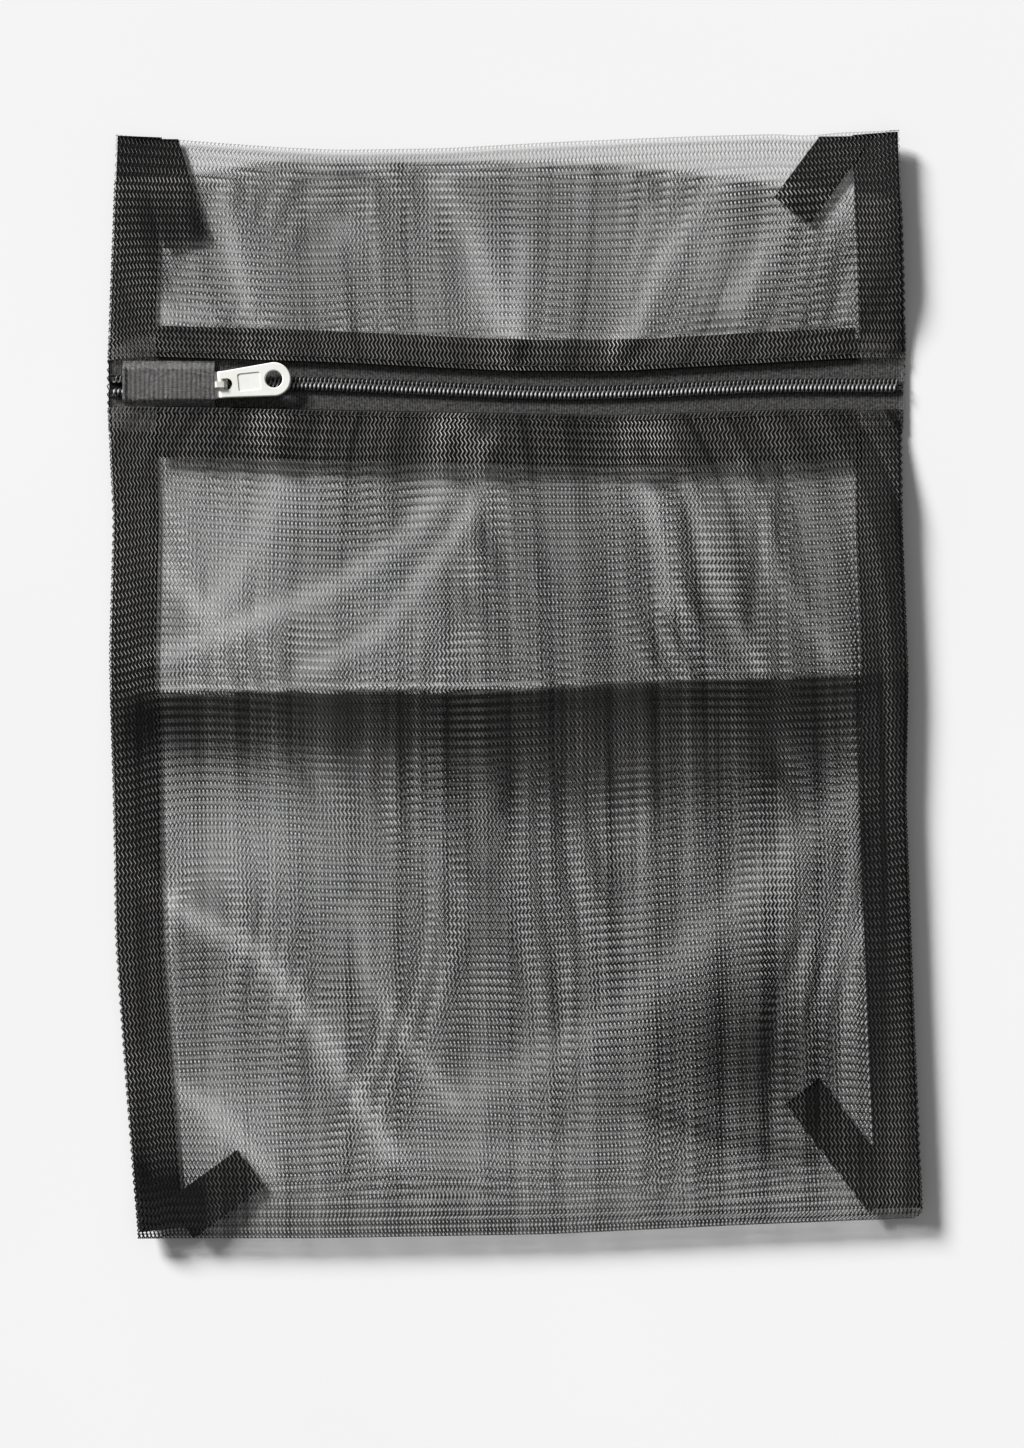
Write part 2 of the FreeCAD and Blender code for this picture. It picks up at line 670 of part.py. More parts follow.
def make_stitches():
    """Rows of thread: both side seams, both zip lips and the garage's sewn end."""
    make_side_stitches("left", size("zip_left_x"), 1)
    make_side_stitches("right", size("zip_right_x"), -1)
    centre = size("zip_y")
    left = size("zip_left_x") + size("zip_stitch_end")
    right = size("zip_right_x") - size("zip_stitch_end")
    for side, sign in (("upper", 1), ("lower", -1)):
        line = centre + sign * (size("lip_gap") + size("lip_stitch"))
        solids = stitch_row(FreeCAD.Vector(left, line, 0), FreeCAD.Vector(right, line, 0))
        add_stitches(f"stitch_zip_{side}", solids, size("rim_height") + size("lip_stitch_lift"))
    column = size("garage_left") + size("garage_stitch_inset")
    half = size("garage_stitch_half")
    ends = [FreeCAD.Vector(column, centre + sign * half, 0) for sign in (-1, 1)]
    add_stitches("stitch_garage", stitch_row(*ends), size("garage_roof_out") + size("stitch_lift"))


def export_parts():
    """Check every object, then write each part to its own STEP file."""
    document.recompute()
    for item in document.Objects:
        if "Invalid" in item.State or "Error" in item.State:
            raise RuntimeError(f"{item.Label} did not build: {item.State}")
    os.makedirs("parts", exist_ok=True)
    kinds = ("PartDesign::Body", "Part::Feature")
    for item in document.Objects:
        if item.TypeId not in kinds:
            continue
        shape = item.Shape
        if shape.isNull() or not shape.isValid():
            raise RuntimeError(f"{item.Label} has no valid shape")
        shape.exportStep(f"parts/{item.Label}.step")
        box = shape.BoundBox
        print(
            f"{item.Label}: {len(shape.Solids)} solids, {shape.Volume:.1f} mm3, "
            f"z {box.ZMin:.2f} to {box.ZMax:.2f}"
        )


make_back_panel()
make_front_panels()
make_side_bindings()
make_zip_bindings()
make_zip_halves()
make_garage()
make_slider()
make_puller()
make_stitches()
export_parts()
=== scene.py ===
"""Looks of the mesh laundry bag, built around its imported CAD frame.

Shapes are worked out in millimetres and turned into metres when a mesh is made.
The cloth is one open knitted net, folded at the top and at the bottom of the bag.
"""

import math

import bpy
import numpy as np
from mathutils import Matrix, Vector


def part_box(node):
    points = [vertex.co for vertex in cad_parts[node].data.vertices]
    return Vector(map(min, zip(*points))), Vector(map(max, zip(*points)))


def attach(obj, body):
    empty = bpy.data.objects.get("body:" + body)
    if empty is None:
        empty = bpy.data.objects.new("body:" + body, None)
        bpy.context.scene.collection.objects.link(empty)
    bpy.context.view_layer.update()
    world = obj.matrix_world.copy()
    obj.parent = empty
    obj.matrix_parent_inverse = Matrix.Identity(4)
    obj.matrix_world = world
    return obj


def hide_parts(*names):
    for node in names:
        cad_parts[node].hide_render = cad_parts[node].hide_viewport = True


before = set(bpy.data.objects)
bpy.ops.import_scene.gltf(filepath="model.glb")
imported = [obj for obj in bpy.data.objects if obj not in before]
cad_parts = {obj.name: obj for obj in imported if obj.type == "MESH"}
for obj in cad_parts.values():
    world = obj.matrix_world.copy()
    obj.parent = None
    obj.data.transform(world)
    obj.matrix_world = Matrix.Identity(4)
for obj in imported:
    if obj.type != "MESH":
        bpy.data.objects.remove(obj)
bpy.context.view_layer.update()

MM = 0.001


def node_box(node):
    """A CAD node's lowest and highest corners, in millimetres."""
    return [np.array(corner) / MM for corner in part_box(node)]


# ------------------------------------------------------------------ sizes, in mm

tape_low, tape_high = node_box("zip_tape_upper")
garage_low, garage_high = node_box("garage_elastic")
binding_low, binding_high = node_box("binding_zip_upper")
hem_low, hem_high = node_box("binding_zip_lower")
ZIP_Y = (garage_low[1] + garage_high[1]) / 2

# Seam and fold lines of the bag: (along, across) points of smooth curves.
LEFT_SEAM = (
    (-206.8, -140.1), (-186, -142.7), (-141, -146.1), (-96, -149.4), (-40, -150.2),
    (10, -151.7), (62, -150.2), (111.8, -152.6), (206.8, -149.0),
)
RIGHT_SEAM = (
    (-206.8, 153.2), (-193, 152.8), (-133, 150.2), (-43, 146.8), (5, 147.6),
    (62, 145.3), (104, 145.7), (123, 147.2), (206.8, 144.2),
)
TOP_FOLD = (
    (-150, 206.0), (-120, 203.6), (-87, 201.2), (-65, 200.2), (-24, 200.8), (17, 203.1),
    (70, 205.3), (104, 206.2), (115, 205.0), (122, 206.8), (146, 206.8),
)
BOTTOM_FOLD = ((-145, -206.8), (-80, -206.8), (8, -205.3), (88, -201.6), (145, -199.4), (153, -199.0))
UPPER_LIP = (
    (-153, 120.6), (-137, 122.8), (-112, 122.1), (-65, 120.6), (-20, 118.3), (0, 117.4),
    (40, 117.2), (73, 119.1), (106, 120.9), (134, 122.4), (147, 121.9),
)
LOWER_LIP = ((-153, 103.6), (-112, 103.4), (-65, 102.2), (40, 100.2), (94, 102.2), (147, 102.9))
ZIP_BOW = (
    (-154, 0), (-105, 0), (-80, 0.9), (-55, 0), (-30, -1.1), (-5, -2.2), (20, -2.8), (45, -2.3),
    (70, -1.1), (92, -0.2), (106, 0), (154, 0),
)
CREASE = ((-149, -2.8), (2, -1.8), (70, 1.7), (147, 4.7))
STRIP_EDGE = (
    (-150, 187), (-118, 190), (-88, 194.8), (-13, 194.4), (32, 193.7), (70, 190), (126, 182.4),
    (146, 179),
)
CORNER_ROUND = 4.0
# About where the left seam lies, and the cloth's width from seam to seam.
CLOTH_LEFT = -149
CLOTH_WIDTH = 297

# The seam bindings, and how far inside the seam their middles and their sewing run.
BINDING_WIDTH = 16.5
BINDING_INSET = 9.15
SEWING_INSET = 13.3
# Their loose ends: start, free end, half width, 1 for a level start or 0 for a square one, and node.
TAPE_ENDS = {
    "top_left": ((-134.1, 204.2), (-122.5, 165.4), 8.25, 1, "binding_left"),
    "bottom_left": ((-124.5, -200), (-98.5, -181), 8.4, 0, "binding_left"),
    "bottom_right": ((139, -192.5), (108.2, -152.2), 8.0, 0, "binding_right"),
    "top_right": ((124.8, 205.2), (104.2, 177.6), 8.25, 1, "binding_right"),
}

# The stitches, and how far behind the lip the lips' own row runs.
STITCH_PITCH, STITCH_LENGTH = 3.0, 2.2
LIP_SEWING = 1.7

# The zip: its tapes, and its coils' pitch, height, reach across, filament radius and bead on the head.
TAPE_WIDTH = 15.9
COIL_PITCH = 1.56
COIL_Z = 2.95
COIL_REACH = 2.56
FILAMENT, BEAD = 0.27, 0.13
# How far each half stands off the centre line at the open left end, and where it opens.
HALF_GAP = 1.35
CLOSED_X, OPEN_X = -109.5, -114.5

# The elastic pocket: its reach below and above the zip, its edges' and roof's height, and its ribs.
GARAGE_BELOW, GARAGE_ABOVE = 8.3, 9.2
GARAGE_FOOT = 3.15
GARAGE_ROOF, GARAGE_RISE = 4.75, 1.15
RIB_PITCH = 1.75

# The net: zigzag wales joined by a cross bar at every bend. The zigzag and the yarn's widths are
# shares of a wale, and the bar's width is a share of a row.
WALES = 200
ROW = 1.525
ZIG = 0.3
FRONT_YARN_HALF = 0.18
BACK_YARN_HALF = 0.15
YARN_RIDGE = 0.13
LEG_UNEVEN = 0.16
BAR = 0.06
WIDEST_YARN_HALF = 0.47
# How much an open place thins the yarn, and a bunched one widens it on the back and on the front.
THINNED, BUNCHED_BACK, BUNCHED_FRONT = 0.46, 1.2, 0.12
# Shares of the painted light on a yarn's left edge, crest and right edge (a painted highlight on the crest
# and on the left flank, which faces the key, and painted shade on the right flank), and the share the back
# layer keeps (painted shade).
PAINTED_HIGHLIGHT_SHARES = (0.12, 1, 0.02)
BACK_SHADE_PAINT_SHARE = 0.35
ROWS = {"hem_up": 6, "upper": 55, "top": 3, "back": 268, "bottom": 3, "lower": 199, "hem_low": 6}
ROW_ENDS = np.cumsum(list(ROWS.values()))

# Heights of the cloth above the ground.
SEAM_Z = 2.0
BACK_Z = 0.3
FOLD_Z = 3.1
LIP_Z = 4.2
LOFT_Z = 4.9
# How far the seam bindings rise at their outer edge, and how far they dip where the zip crosses them.
SEAM_TILT = 1.0
SEAM_DIP = 0.25
# How far the hidden hem bands reach past the lips, where their dark edge is a painted shadow of the lips on
# the tapes, and how far they lie below the front layer.
HEM_SHADOW_PEEP = 0.5
UNDER_NET = 0.75
# How far under the front layer the net that is turned in at the lips lies.
HEM_DROP = 0.9
# Least height of the front between the pleats.
LOWEST_FRONT = 2.6

# Pleats of the front: points (x, y), width, height, lightness; the lightness opens the net and also sets the
# painted highlight along the pleat's crest.
PLEATS = (
    (((-110, 178), (-103, 155), (-95, 128)), 4.5, 1.8, 0.7),
    (((-24, 186), (-13, 158), (-1, 122)), 5.0, 2.0, 0.8),
    (((4, 165), (1, 121)), 3.0, 1.4, 0.6),
    (((76, 186), (56, 156), (41, 121)), 4.5, 1.9, 0.7),
    (((52, 176), (43, 150), (39, 122)), 3.0, 1.2, 0.5),
    (((106, 184), (96, 162), (83, 142)), 5.0, 1.6, 0.7),
    (((-146, 168), (-130, 136)), 4.0, 0.9, 0.5),
    (((-92, 101), (-88, 78), (-99, 48), (-112, 26)), 5.0, 1.7, 0.6),
    (((-24, 101), (-27, 70), (-40, 54), (-66, 36), (-100, 22), (-140, 6)), 4.5, 2.2, 0.95),
    (((-9, 88), (-14, 66), (-31, 41), (-51, 18), (-80, 2)), 4.0, 1.9, 0.8),
    (((-136, 66), (-132, 44), (-114, 24)), 4.5, 1.6, 0.6),
    (((41, 101), (48, 76), (56, 50), (58, 30)), 4.5, 1.9, 0.8),
    (((66, 72), (80, 27), (92, 5)), 3.5, 1.5, 0.5),
    (((86, 80), (98, 40), (118, 12)), 4.0, 1.1, 0.35),
    (((-147, -66), (-124, -85), (-95, -100), (-74, -130), (-58, -156), (-46, -176)), 4.5, 1.9, 0.8),
    (((-59, -84), (-54, -110), (-39, -135), (-22, -157)), 3.5, 1.4, 0.5),
    (((128, -42), (82, -84), (42, -124), (4, -146), (-24, -158)), 8.0, 1.6, 0.4),
    (((-141, -142), (-112, -160), (-92, -182)), 4.5, 1.3, 0.6),
    (((42, -156), (76, -168), (112, -176)), 4.0, 1.0, -0.4),
    (((-148, -1.5), (-60, -1.2), (10, -0.6)), 1.3, 0.5, 0.7),
    (((-30, -60), (-26, -120)), 3.0, 0.6, 0.2),
    (((-4, -52), (-2, -118)), 3.0, 0.6, 0.2),
    (((22, -56), (22, -112)), 3.0, 0.6, 0.2),
    (((50, -50), (44, -100)), 3.0, 0.6, 0.2),
)
# Lighter and darker patches, where the net is stretched or bunched: centre, radii, lightness.
PATCHES = (
    ((-116, 52), (26, 40), 0.7),
    ((-84, 80), (14, 22), 0.5),
    ((-40, 22), (34, 18), 0.35),
    ((50, 80), (12, 18), 0.5),
    ((118, 66), (20, 24), 0.25),
    ((30, -34), (90, 18), -0.6),
    ((-104, -58), (32, 24), 0.75),
    ((-106, -162), (24, 18), 0.7),
    ((-12, -175), (44, 6), 0.6),
    ((88, -140), (34, 28), -0.9),
    ((96, 20), (70, 170), -0.45),
    ((-10, 30), (40, 40), -0.2),
    ((0, -100), (50, 50), -0.2),
    ((124, -98), (16, 26), 0.4),
    ((-64, 170), (6, 7), 0.9),
    ((-124, 138), (12, 6), 1.0),
    ((-8, 145), (18, 22), 0.45),
    ((-104, 160), (16, 22), 0.35),
    ((70, 165), (26, 18), 0.35),
    ((121, 178), (6, 10), 1.2),
    ((0, 100), (200, 10), -0.4),
    ((0, -202), (200, 8), -0.4),
)
# Painted highlights and painted shade on the yarn, where it is drawn lighter or darker than around: centre,
# radii, change.
PAINTED_SHEEN_PATCHES = (
    ((-134, -196), (28, 18), -0.5),
    ((-118, 172), (24, 9), -0.2),
    ((-136, 193), (15, 8), 0.4),
    ((118, 195), (16, 14), 0.6),
    ((60, 160), (60, 22), 0.16),
    ((0, -100), (45, 80), -0.12),
    ((105, -110), (40, 80), -0.2),
    ((10, 25), (40, 30), -0.12),
    ((-144, 34), (8, 34), 0.2),
    ((-138, -14), (12, 12), -0.2),
    ((-142, -150), (10, 22), 0.12),
    ((-128, 150), (18, 14), 0.1),
    ((0, 128), (150, 6), 0.12),
    ((142, 20), (12, 170), -0.14),
    ((-92, 95), (6, 10), 0.9),
    ((-21, 93), (6, 10), 0.9),
    ((50, 91), (8, 11), 0.9),
    ((-94, 127), (6, 8), 0.7),
    ((-1, 124), (6, 8), 0.9),
    ((42, 125), (7, 8), 0.8),
)
# Where the folds of the cloth gather on the upper and the lower lip.
UPPER_PINCHES = (-95, -1, 41)
LOWER_PINCHES = (-92, -22, 47)
# How bunched the net is right below the crease, and how far down that reaches.
CREASE_BUNCHED = 2.1
CREASE_REACH = 24
# How far open the net is drawn at most and at least, and in the strip along the top.
OPEN_MOST, OPEN_LEAST = 1.1, -1.7
OPEN_STRIP = 1.6
# How far the right and bottom edges curl up off the ground, and how wide the curl is.
EDGE_LIFT = 4.2
LIFT_REACH = 30

# The stage: height and middle of the view, and the camera's distance in metres.
VIEW_HEIGHT = 543
VIEW_MIDDLE = (-0.56, -14.8)
CAMERA_DISTANCE = 1.3


def smooth_curve(points):
    """A function through given points, with its corners rounded off."""
    along, across = np.array(points, float).T
    table = np.arange(-230, 230, 0.5)
    rounded = np.mean([np.interp(table + shift, along, across) for shift in np.linspace(-7, 7, 9)], axis=0)
    return lambda value: np.interp(value, table, rounded)


class Field:
    """A smooth function of x and y, worked out once on a 1 mm grid and read between its points."""

    def __init__(self, function):
        self.low_x, self.low_y = -165, -220
        places = np.arange(self.low_x, 166), np.arange(self.low_y, 221)
        grid_x, grid_y = np.meshgrid(*places, indexing="ij")
        self.values = function(grid_x.astype(float), grid_y.astype(float))

    def __call__(self, x, y):
        across_part, up_part = np.asarray(x) - self.low_x, np.asarray(y) - self.low_y
        column, row = np.floor(across_part).astype(int), np.floor(up_part).astype(int)
        share_x, share_y = across_part - column, up_part - row
        low = self.values[column, row] * (1 - share_x) + self.values[column + 1, row] * share_x
        high = self.values[column, row + 1] * (1 - share_x) + self.values[column + 1, row + 1] * share_x
        return low * (1 - share_y) + high * share_y


left_seam = smooth_curve(LEFT_SEAM)
right_seam_line = smooth_curve(RIGHT_SEAM)
top_fold = smooth_curve(TOP_FOLD)
bottom_fold = smooth_curve(BOTTOM_FOLD)
upper_lip = smooth_curve(UPPER_LIP)
lower_lip = smooth_curve(LOWER_LIP)
zip_bow = smooth_curve(ZIP_BOW)
crease_y = smooth_curve(CREASE)
strip_edge = smooth_curve(STRIP_EDGE)


def step(low, high, value):
    """Smooth step from 0 at low to 1 at high."""
    share = np.clip((value - low) / (high - low), 0, 1)
    return share * share * (3 - 2 * share)


def right_seam(y):
    """The right seam, rounded into the bottom fold at the corner."""
    rise = np.clip(y - bottom_fold(150), 0, CORNER_ROUND)
    inward = CORNER_ROUND - np.sqrt(CORNER_ROUND**2 - (CORNER_ROUND - rise) ** 2)
    return right_seam_line(y) - inward


def run_along(points):
    """Distance along a line of (x, y) points, at each of them."""
    return np.concatenate([[0], np.cumsum(np.hypot(*np.diff(points, axis=0).T))])


def distance_to(points, x, y):
    """Distance from each place to a chain of straight runs."""
    nearest = np.full(np.shape(x), 1e9)
    for (x0, y0), (x1, y1) in zip(points, points[1:], strict=False):
        dx, dy = x1 - x0, y1 - y0
        share = np.clip(((x - x0) * dx + (y - y0) * dy) / (dx * dx + dy * dy), 0, 1)
        nearest = np.minimum(nearest, np.hypot(x - x0 - share * dx, y - y0 - share * dy))
    return nearest


def gathered(x, y):
    """Place across the fine folds, which run down the cloth and gather at the pinches."""
    past_lip = np.clip(np.where(y > ZIP_Y, y - upper_lip(x), lower_lip(x) - y), 0, None)
    place = np.array(x, float)
    for pinches, half in ((UPPER_PINCHES, y > ZIP_Y), (LOWER_PINCHES, y <= ZIP_Y)):
        for pinch in pinches:
            place += half * 9 * np.tanh((x - pinch) / 9) * np.exp(-past_lip / 34)
    return place


def streaks(x, y):
    """Fine long folds of the cloth, from -1 to 1."""
    place = gathered(x, y)
    fine = np.sin(place / 0.68 + 2.2 * np.sin(place / 17)) * (0.6 + 0.4 * np.sin(y / 29 + place / 9))
    broad = np.sin(place / 1.3 + 1.7 * np.sin(place / 23 + y / 80))
    broad *= 0.6 + 0.4 * np.sin(y / 41 - place / 13)
    wide = np.sin(place / 3.1 + 1.1 * np.sin(y / 60))
    return (fine + broad + wide) / 3


def pleat_highlight_paint(x, y):
    """How much painted highlight a place gets from being near the top of a pleat, from 0 to 1."""
    value = np.zeros(np.shape(x))
    for points, width, _, light in PLEATS:
        distance = distance_to(points, x, y)
        creases = 0.6 + 0.4 * np.cos(distance * 2.3)
        value += max(light, 0) * creases * np.exp(-((distance / width) ** 2))
    return np.clip(value, 0, 1)


def relief(x, y):
    """Height of the pleats, the crease and the gentle waves of the front."""
    height = 0.35 * np.sin(x / 19 + 0.7) * np.sin(y / 27 + 1.1) + 0.3 * streaks(x, y)
    height += 0.22 * np.sin(x / 8.3 - y / 13 + 2.0)
    for points, width, top, _ in PLEATS:
        height += top * np.exp(-((distance_to(points, x, y) / width) ** 2))
    above = y - crease_y(x)
    ridge = np.where(above > 0, np.exp(-above / 20), np.exp(-((above / 7) ** 2)))
    height += 3.0 * ridge - 1.4 * np.exp(-(((above + 19) / 11) ** 2))
    return height


def lightness(x, y):
    """How far the net is drawn open: below 0 it is bunched, above 0 it is stretched."""
    value = 0.35 * streaks(x, y)
    for points, width, _, light in PLEATS:
        value += light * np.exp(-((distance_to(points, x, y) / width) ** 2))
    for (cx, cy), (rx, ry), light in PATCHES:
        value += light * np.exp(-(((x - cx) / rx) ** 2 + ((y - cy) / ry) ** 2))
    below = crease_y(x) - y
    value -= CREASE_BUNCHED * step(-0.5, 1.2, below) * np.exp(-((below / CREASE_REACH) ** 2))
    value = np.clip(value, OPEN_LEAST, OPEN_MOST)
    return value + (OPEN_STRIP - value) * step(0, 2.5, y - strip_edge(x))


def side_distance(x, y):
    """Distance inwards from the nearer side seam."""
    return np.minimum(x - left_seam(y), right_seam(y) - x)


def front_shape(x, y):
    """Height of the outer front layer: low at the seams, puffed up in between."""
    side = side_distance(x, y)
    past_lip = np.where(y > ZIP_Y, y - upper_lip(x), lower_lip(x) - y)
    to_fold = np.where(y > ZIP_Y, top_fold(x) - y, y - bottom_fold(x))
    ends = FOLD_Z + (LIP_Z - FOLD_Z) * step(50, 0, past_lip)
    inner = step(0, 30, to_fold) * step(0, 22, past_lip)
    loft = ends + (LOFT_Z - ends) * inner
    border = np.interp(side, (0, 1.4, 4, 17, 34), (0, 0.55, 0.68, 0.8, 1))
    body = SEAM_Z + (loft - SEAM_Z) * border
    calm = step(3, 26, side) * step(1, 20, to_fold) * step(-2, 12, past_lip)
    return np.maximum(body + calm * relief(x, y), np.minimum(body, LOWEST_FRONT))


def back_shape(x, y):
    """Height of the back layer, which lies on the ground and curls up to the side seams."""
    inward = np.clip(1 - side_distance(x, y) / 6, 0, 1)
    return BACK_Z + (SEAM_Z - 0.1 - BACK_Z) * inward**2


front_height = Field(front_shape)
back_height = Field(back_shape)
openness = Field(lightness)


def painted_yarn_highlight(x, y):
    """Painted light on the yarn, from 0 to 1: painted highlights on pleat crests, fine folds and open places,
    with the painted highlights and shade of the patches.
    """
    value = 0.3 + 0.6 * pleat_highlight_paint(x, y) + 0.2 * streaks(x, y) + 0.1 * np.clip(lightness(x, y), -1, 1)
    for (cx, cy), (rx, ry), light in PAINTED_SHEEN_PATCHES:
        value += light * np.exp(-(((x - cx) / rx) ** 2 + ((y - cy) / ry) ** 2))
    return np.clip(value, 0, 1)


# The yarn's painted highlights and shade, worked out once on the grid.
yarn_highlight_paint = Field(painted_yarn_highlight)


def across(u, y):
    """X at share u of the way from the left seam to the right seam."""
    left = left_seam(y)
    return left + u * (right_seam(y) - left)


def course_tilt(u, v):
    """How far the courses rise towards the right near both side seams."""
    from_left = u * CLOTH_WIDTH
    from_right = CLOTH_WIDTH - from_left
    inner = np.clip(6 * np.minimum(v, 1 - v), 0, 1)
    return inner * 3.2 * (np.exp(-from_right / 22) - np.exp(-from_left / 22))


def drift(x, y, s):
    """How far the knit wanders sideways and along, apart from at its edges; each layer differs."""
    layer = np.where(s < ROW_ENDS[1], 0.0, np.where(s < ROW_ENDS[3], 2.1, 4.4))
    calm = step(1, 22, side_distance(x, y)) * step(1, 14, np.abs(y - ZIP_Y) - 8)
    calm = calm * step(1, 14, np.minimum(200 - y, y + 199))
    sideways = 1.3 * np.sin(x / 17 + 1.3 * layer + 0.6 * np.sin(y / 45))
    sideways = sideways + 0.4 * np.sin(y / 23 - x / 29 + layer)
    along = 1.1 * np.sin(x / 27 + y / 60) + 0.35 * np.sin(x / 13 - y / 90 + layer)
    return calm * sideways, calm * along


def wrap(u, s):
    """Place of the cloth at share u across and row s, from the upper lip round to the lower lip."""
    guess = CLOTH_LEFT + CLOTH_WIDTH * u
    hem_end, upper_end, top_end, back_end, bottom_end, lower_end, _ = ROW_ENDS
    top_y, bottom_y = top_fold(guess), bottom_fold(guess)
    radius_top = (front_height(guess, top_y) - back_height(guess, top_y)) / 2
    radius_low = (front_height(guess, bottom_y) - back_height(guess, bottom_y)) / 2
    lip_up, lip_low = upper_lip(guess), lower_lip(guess)

    v_upper = (s - hem_end) / ROWS["upper"]
    v_back = (s - top_end) / ROWS["back"]
    v_lower = (s - bottom_end) / ROWS["lower"]
    y_upper = lip_up + (top_y - radius_top - lip_up) * v_upper + course_tilt(u, v_upper)
    y_back = (top_y - radius_top) + (bottom_y + radius_low - top_y + radius_top) * v_back
    y_lower = (bottom_y + radius_low) + (lip_low - bottom_y - radius_low) * v_lower
    y_lower += course_tilt(u, v_lower)

    hem_up, hem_low = hem_end - s, s - lower_end
    in_hem = (hem_up > 0) | (hem_low > 0)
    hem_rows = np.maximum(hem_up, hem_low)
    turned = np.clip(hem_rows, 0, 1) * math.pi
    outward = np.where(hem_up > 0, -1, 1)
    lip = np.where(hem_up > 0, lip_up, lip_low)
    y_hem = lip + outward * (HEM_DROP / 2 * np.sin(turned) - ROW * np.clip(hem_rows - 1, 0, None))
    drop = HEM_DROP / 2 * (1 - np.cos(turned))

    at_top = (s > upper_end) & (s < top_end)
    at_bottom = (s > back_end) & (s < bottom_end)
    angle = np.where(at_top, (s - upper_end) / ROWS["top"], 1 - (s - back_end) / ROWS["bottom"]) * math.pi
    fold_y = np.where(at_top, top_y - radius_top, bottom_y + radius_low)
    radius = np.where(at_top, radius_top, radius_low)
    side = np.where(at_top, 1, -1)
    y_fold = fold_y + side * radius * np.sin(angle)

    on_back = (s >= top_end) & (s <= back_end)
    in_fold = at_top | at_bottom
    y = np.where(s <= upper_end, y_upper, y_lower)
    y = np.where(in_hem, y_hem, y)
    y = np.where(on_back, y_back, y)
    y = np.where(in_fold, y_fold, y)
    drift_x, drift_y = drift(guess, y, s)
    x, y = across(u, y) + drift_x, y + drift_y
    lip_height = front_height(x, np.where(in_hem, lip, y))
    z = np.where(in_hem, lip_height - drop, lip_height)
    z = np.where(on_back, back_height(x, y), z)
    fold_middle = (front_height(x, fold_y) + back_height(x, fold_y)) / 2
    return x, y, np.where(in_fold, fold_middle + radius * np.cos(angle), z)


# ------------------------------------------------------------------ meshes


def edge_lift(x, y):
    """How far the right and bottom edges of the bag stand off the ground, away from the zip."""
    right = step(LIFT_REACH, 0, right_seam_line(y) - x) ** 2 * step(12, 45, np.abs(y - ZIP_Y))
    low = step(LIFT_REACH, 0, y - bottom_fold(x)) ** 2
    return EDGE_LIFT * np.maximum(right, low)


def new_mesh(name, points, quads, smooth=True):
    """A mesh object from an array of points in mm and an array of quads."""
    points = np.array(points, float)
    if name != "floor":
        points[:, 2] += edge_lift(points[:, 0], points[:, 1])
    mesh = bpy.data.meshes.new(name)
    mesh.vertices.add(len(points))
    mesh.vertices.foreach_set("co", (points * MM).astype(np.float32).ravel())
    mesh.loops.add(quads.size)
    mesh.loops.foreach_set("vertex_index", quads.astype(np.int32).ravel())
    mesh.polygons.add(len(quads))
    mesh.polygons.foreach_set("loop_start", np.arange(0, quads.size, quads.shape[1], dtype=np.int32))
    mesh.polygons.foreach_set("use_smooth", np.full(len(quads), smooth))
    mesh.update(calc_edges=True)
    mesh.validate()
    piece = bpy.data.objects.new(name, mesh)
    bpy.context.scene.collection.objects.link(piece)
    return piece


def paint_points(piece, painted_light):
    """Store the painted light of each point of a piece, which its material draws as painted highlights."""
    layer = piece.data.attributes.new("painted_light", "FLOAT", "POINT")
    layer.data.foreach_set("value", np.asarray(painted_light, np.float32).ravel())


def lay_uv(piece, uv):
    """Give a piece a UV map in mm from one (u, v) pair per point."""
    layer = piece.data.uv_layers.new(name="cloth")
    vertex = np.zeros(len(piece.data.loops), dtype=np.int32)
    piece.data.loops.foreach_get("vertex_index", vertex)
    layer.data.foreach_set("uv", uv[vertex].astype(np.float32).ravel())


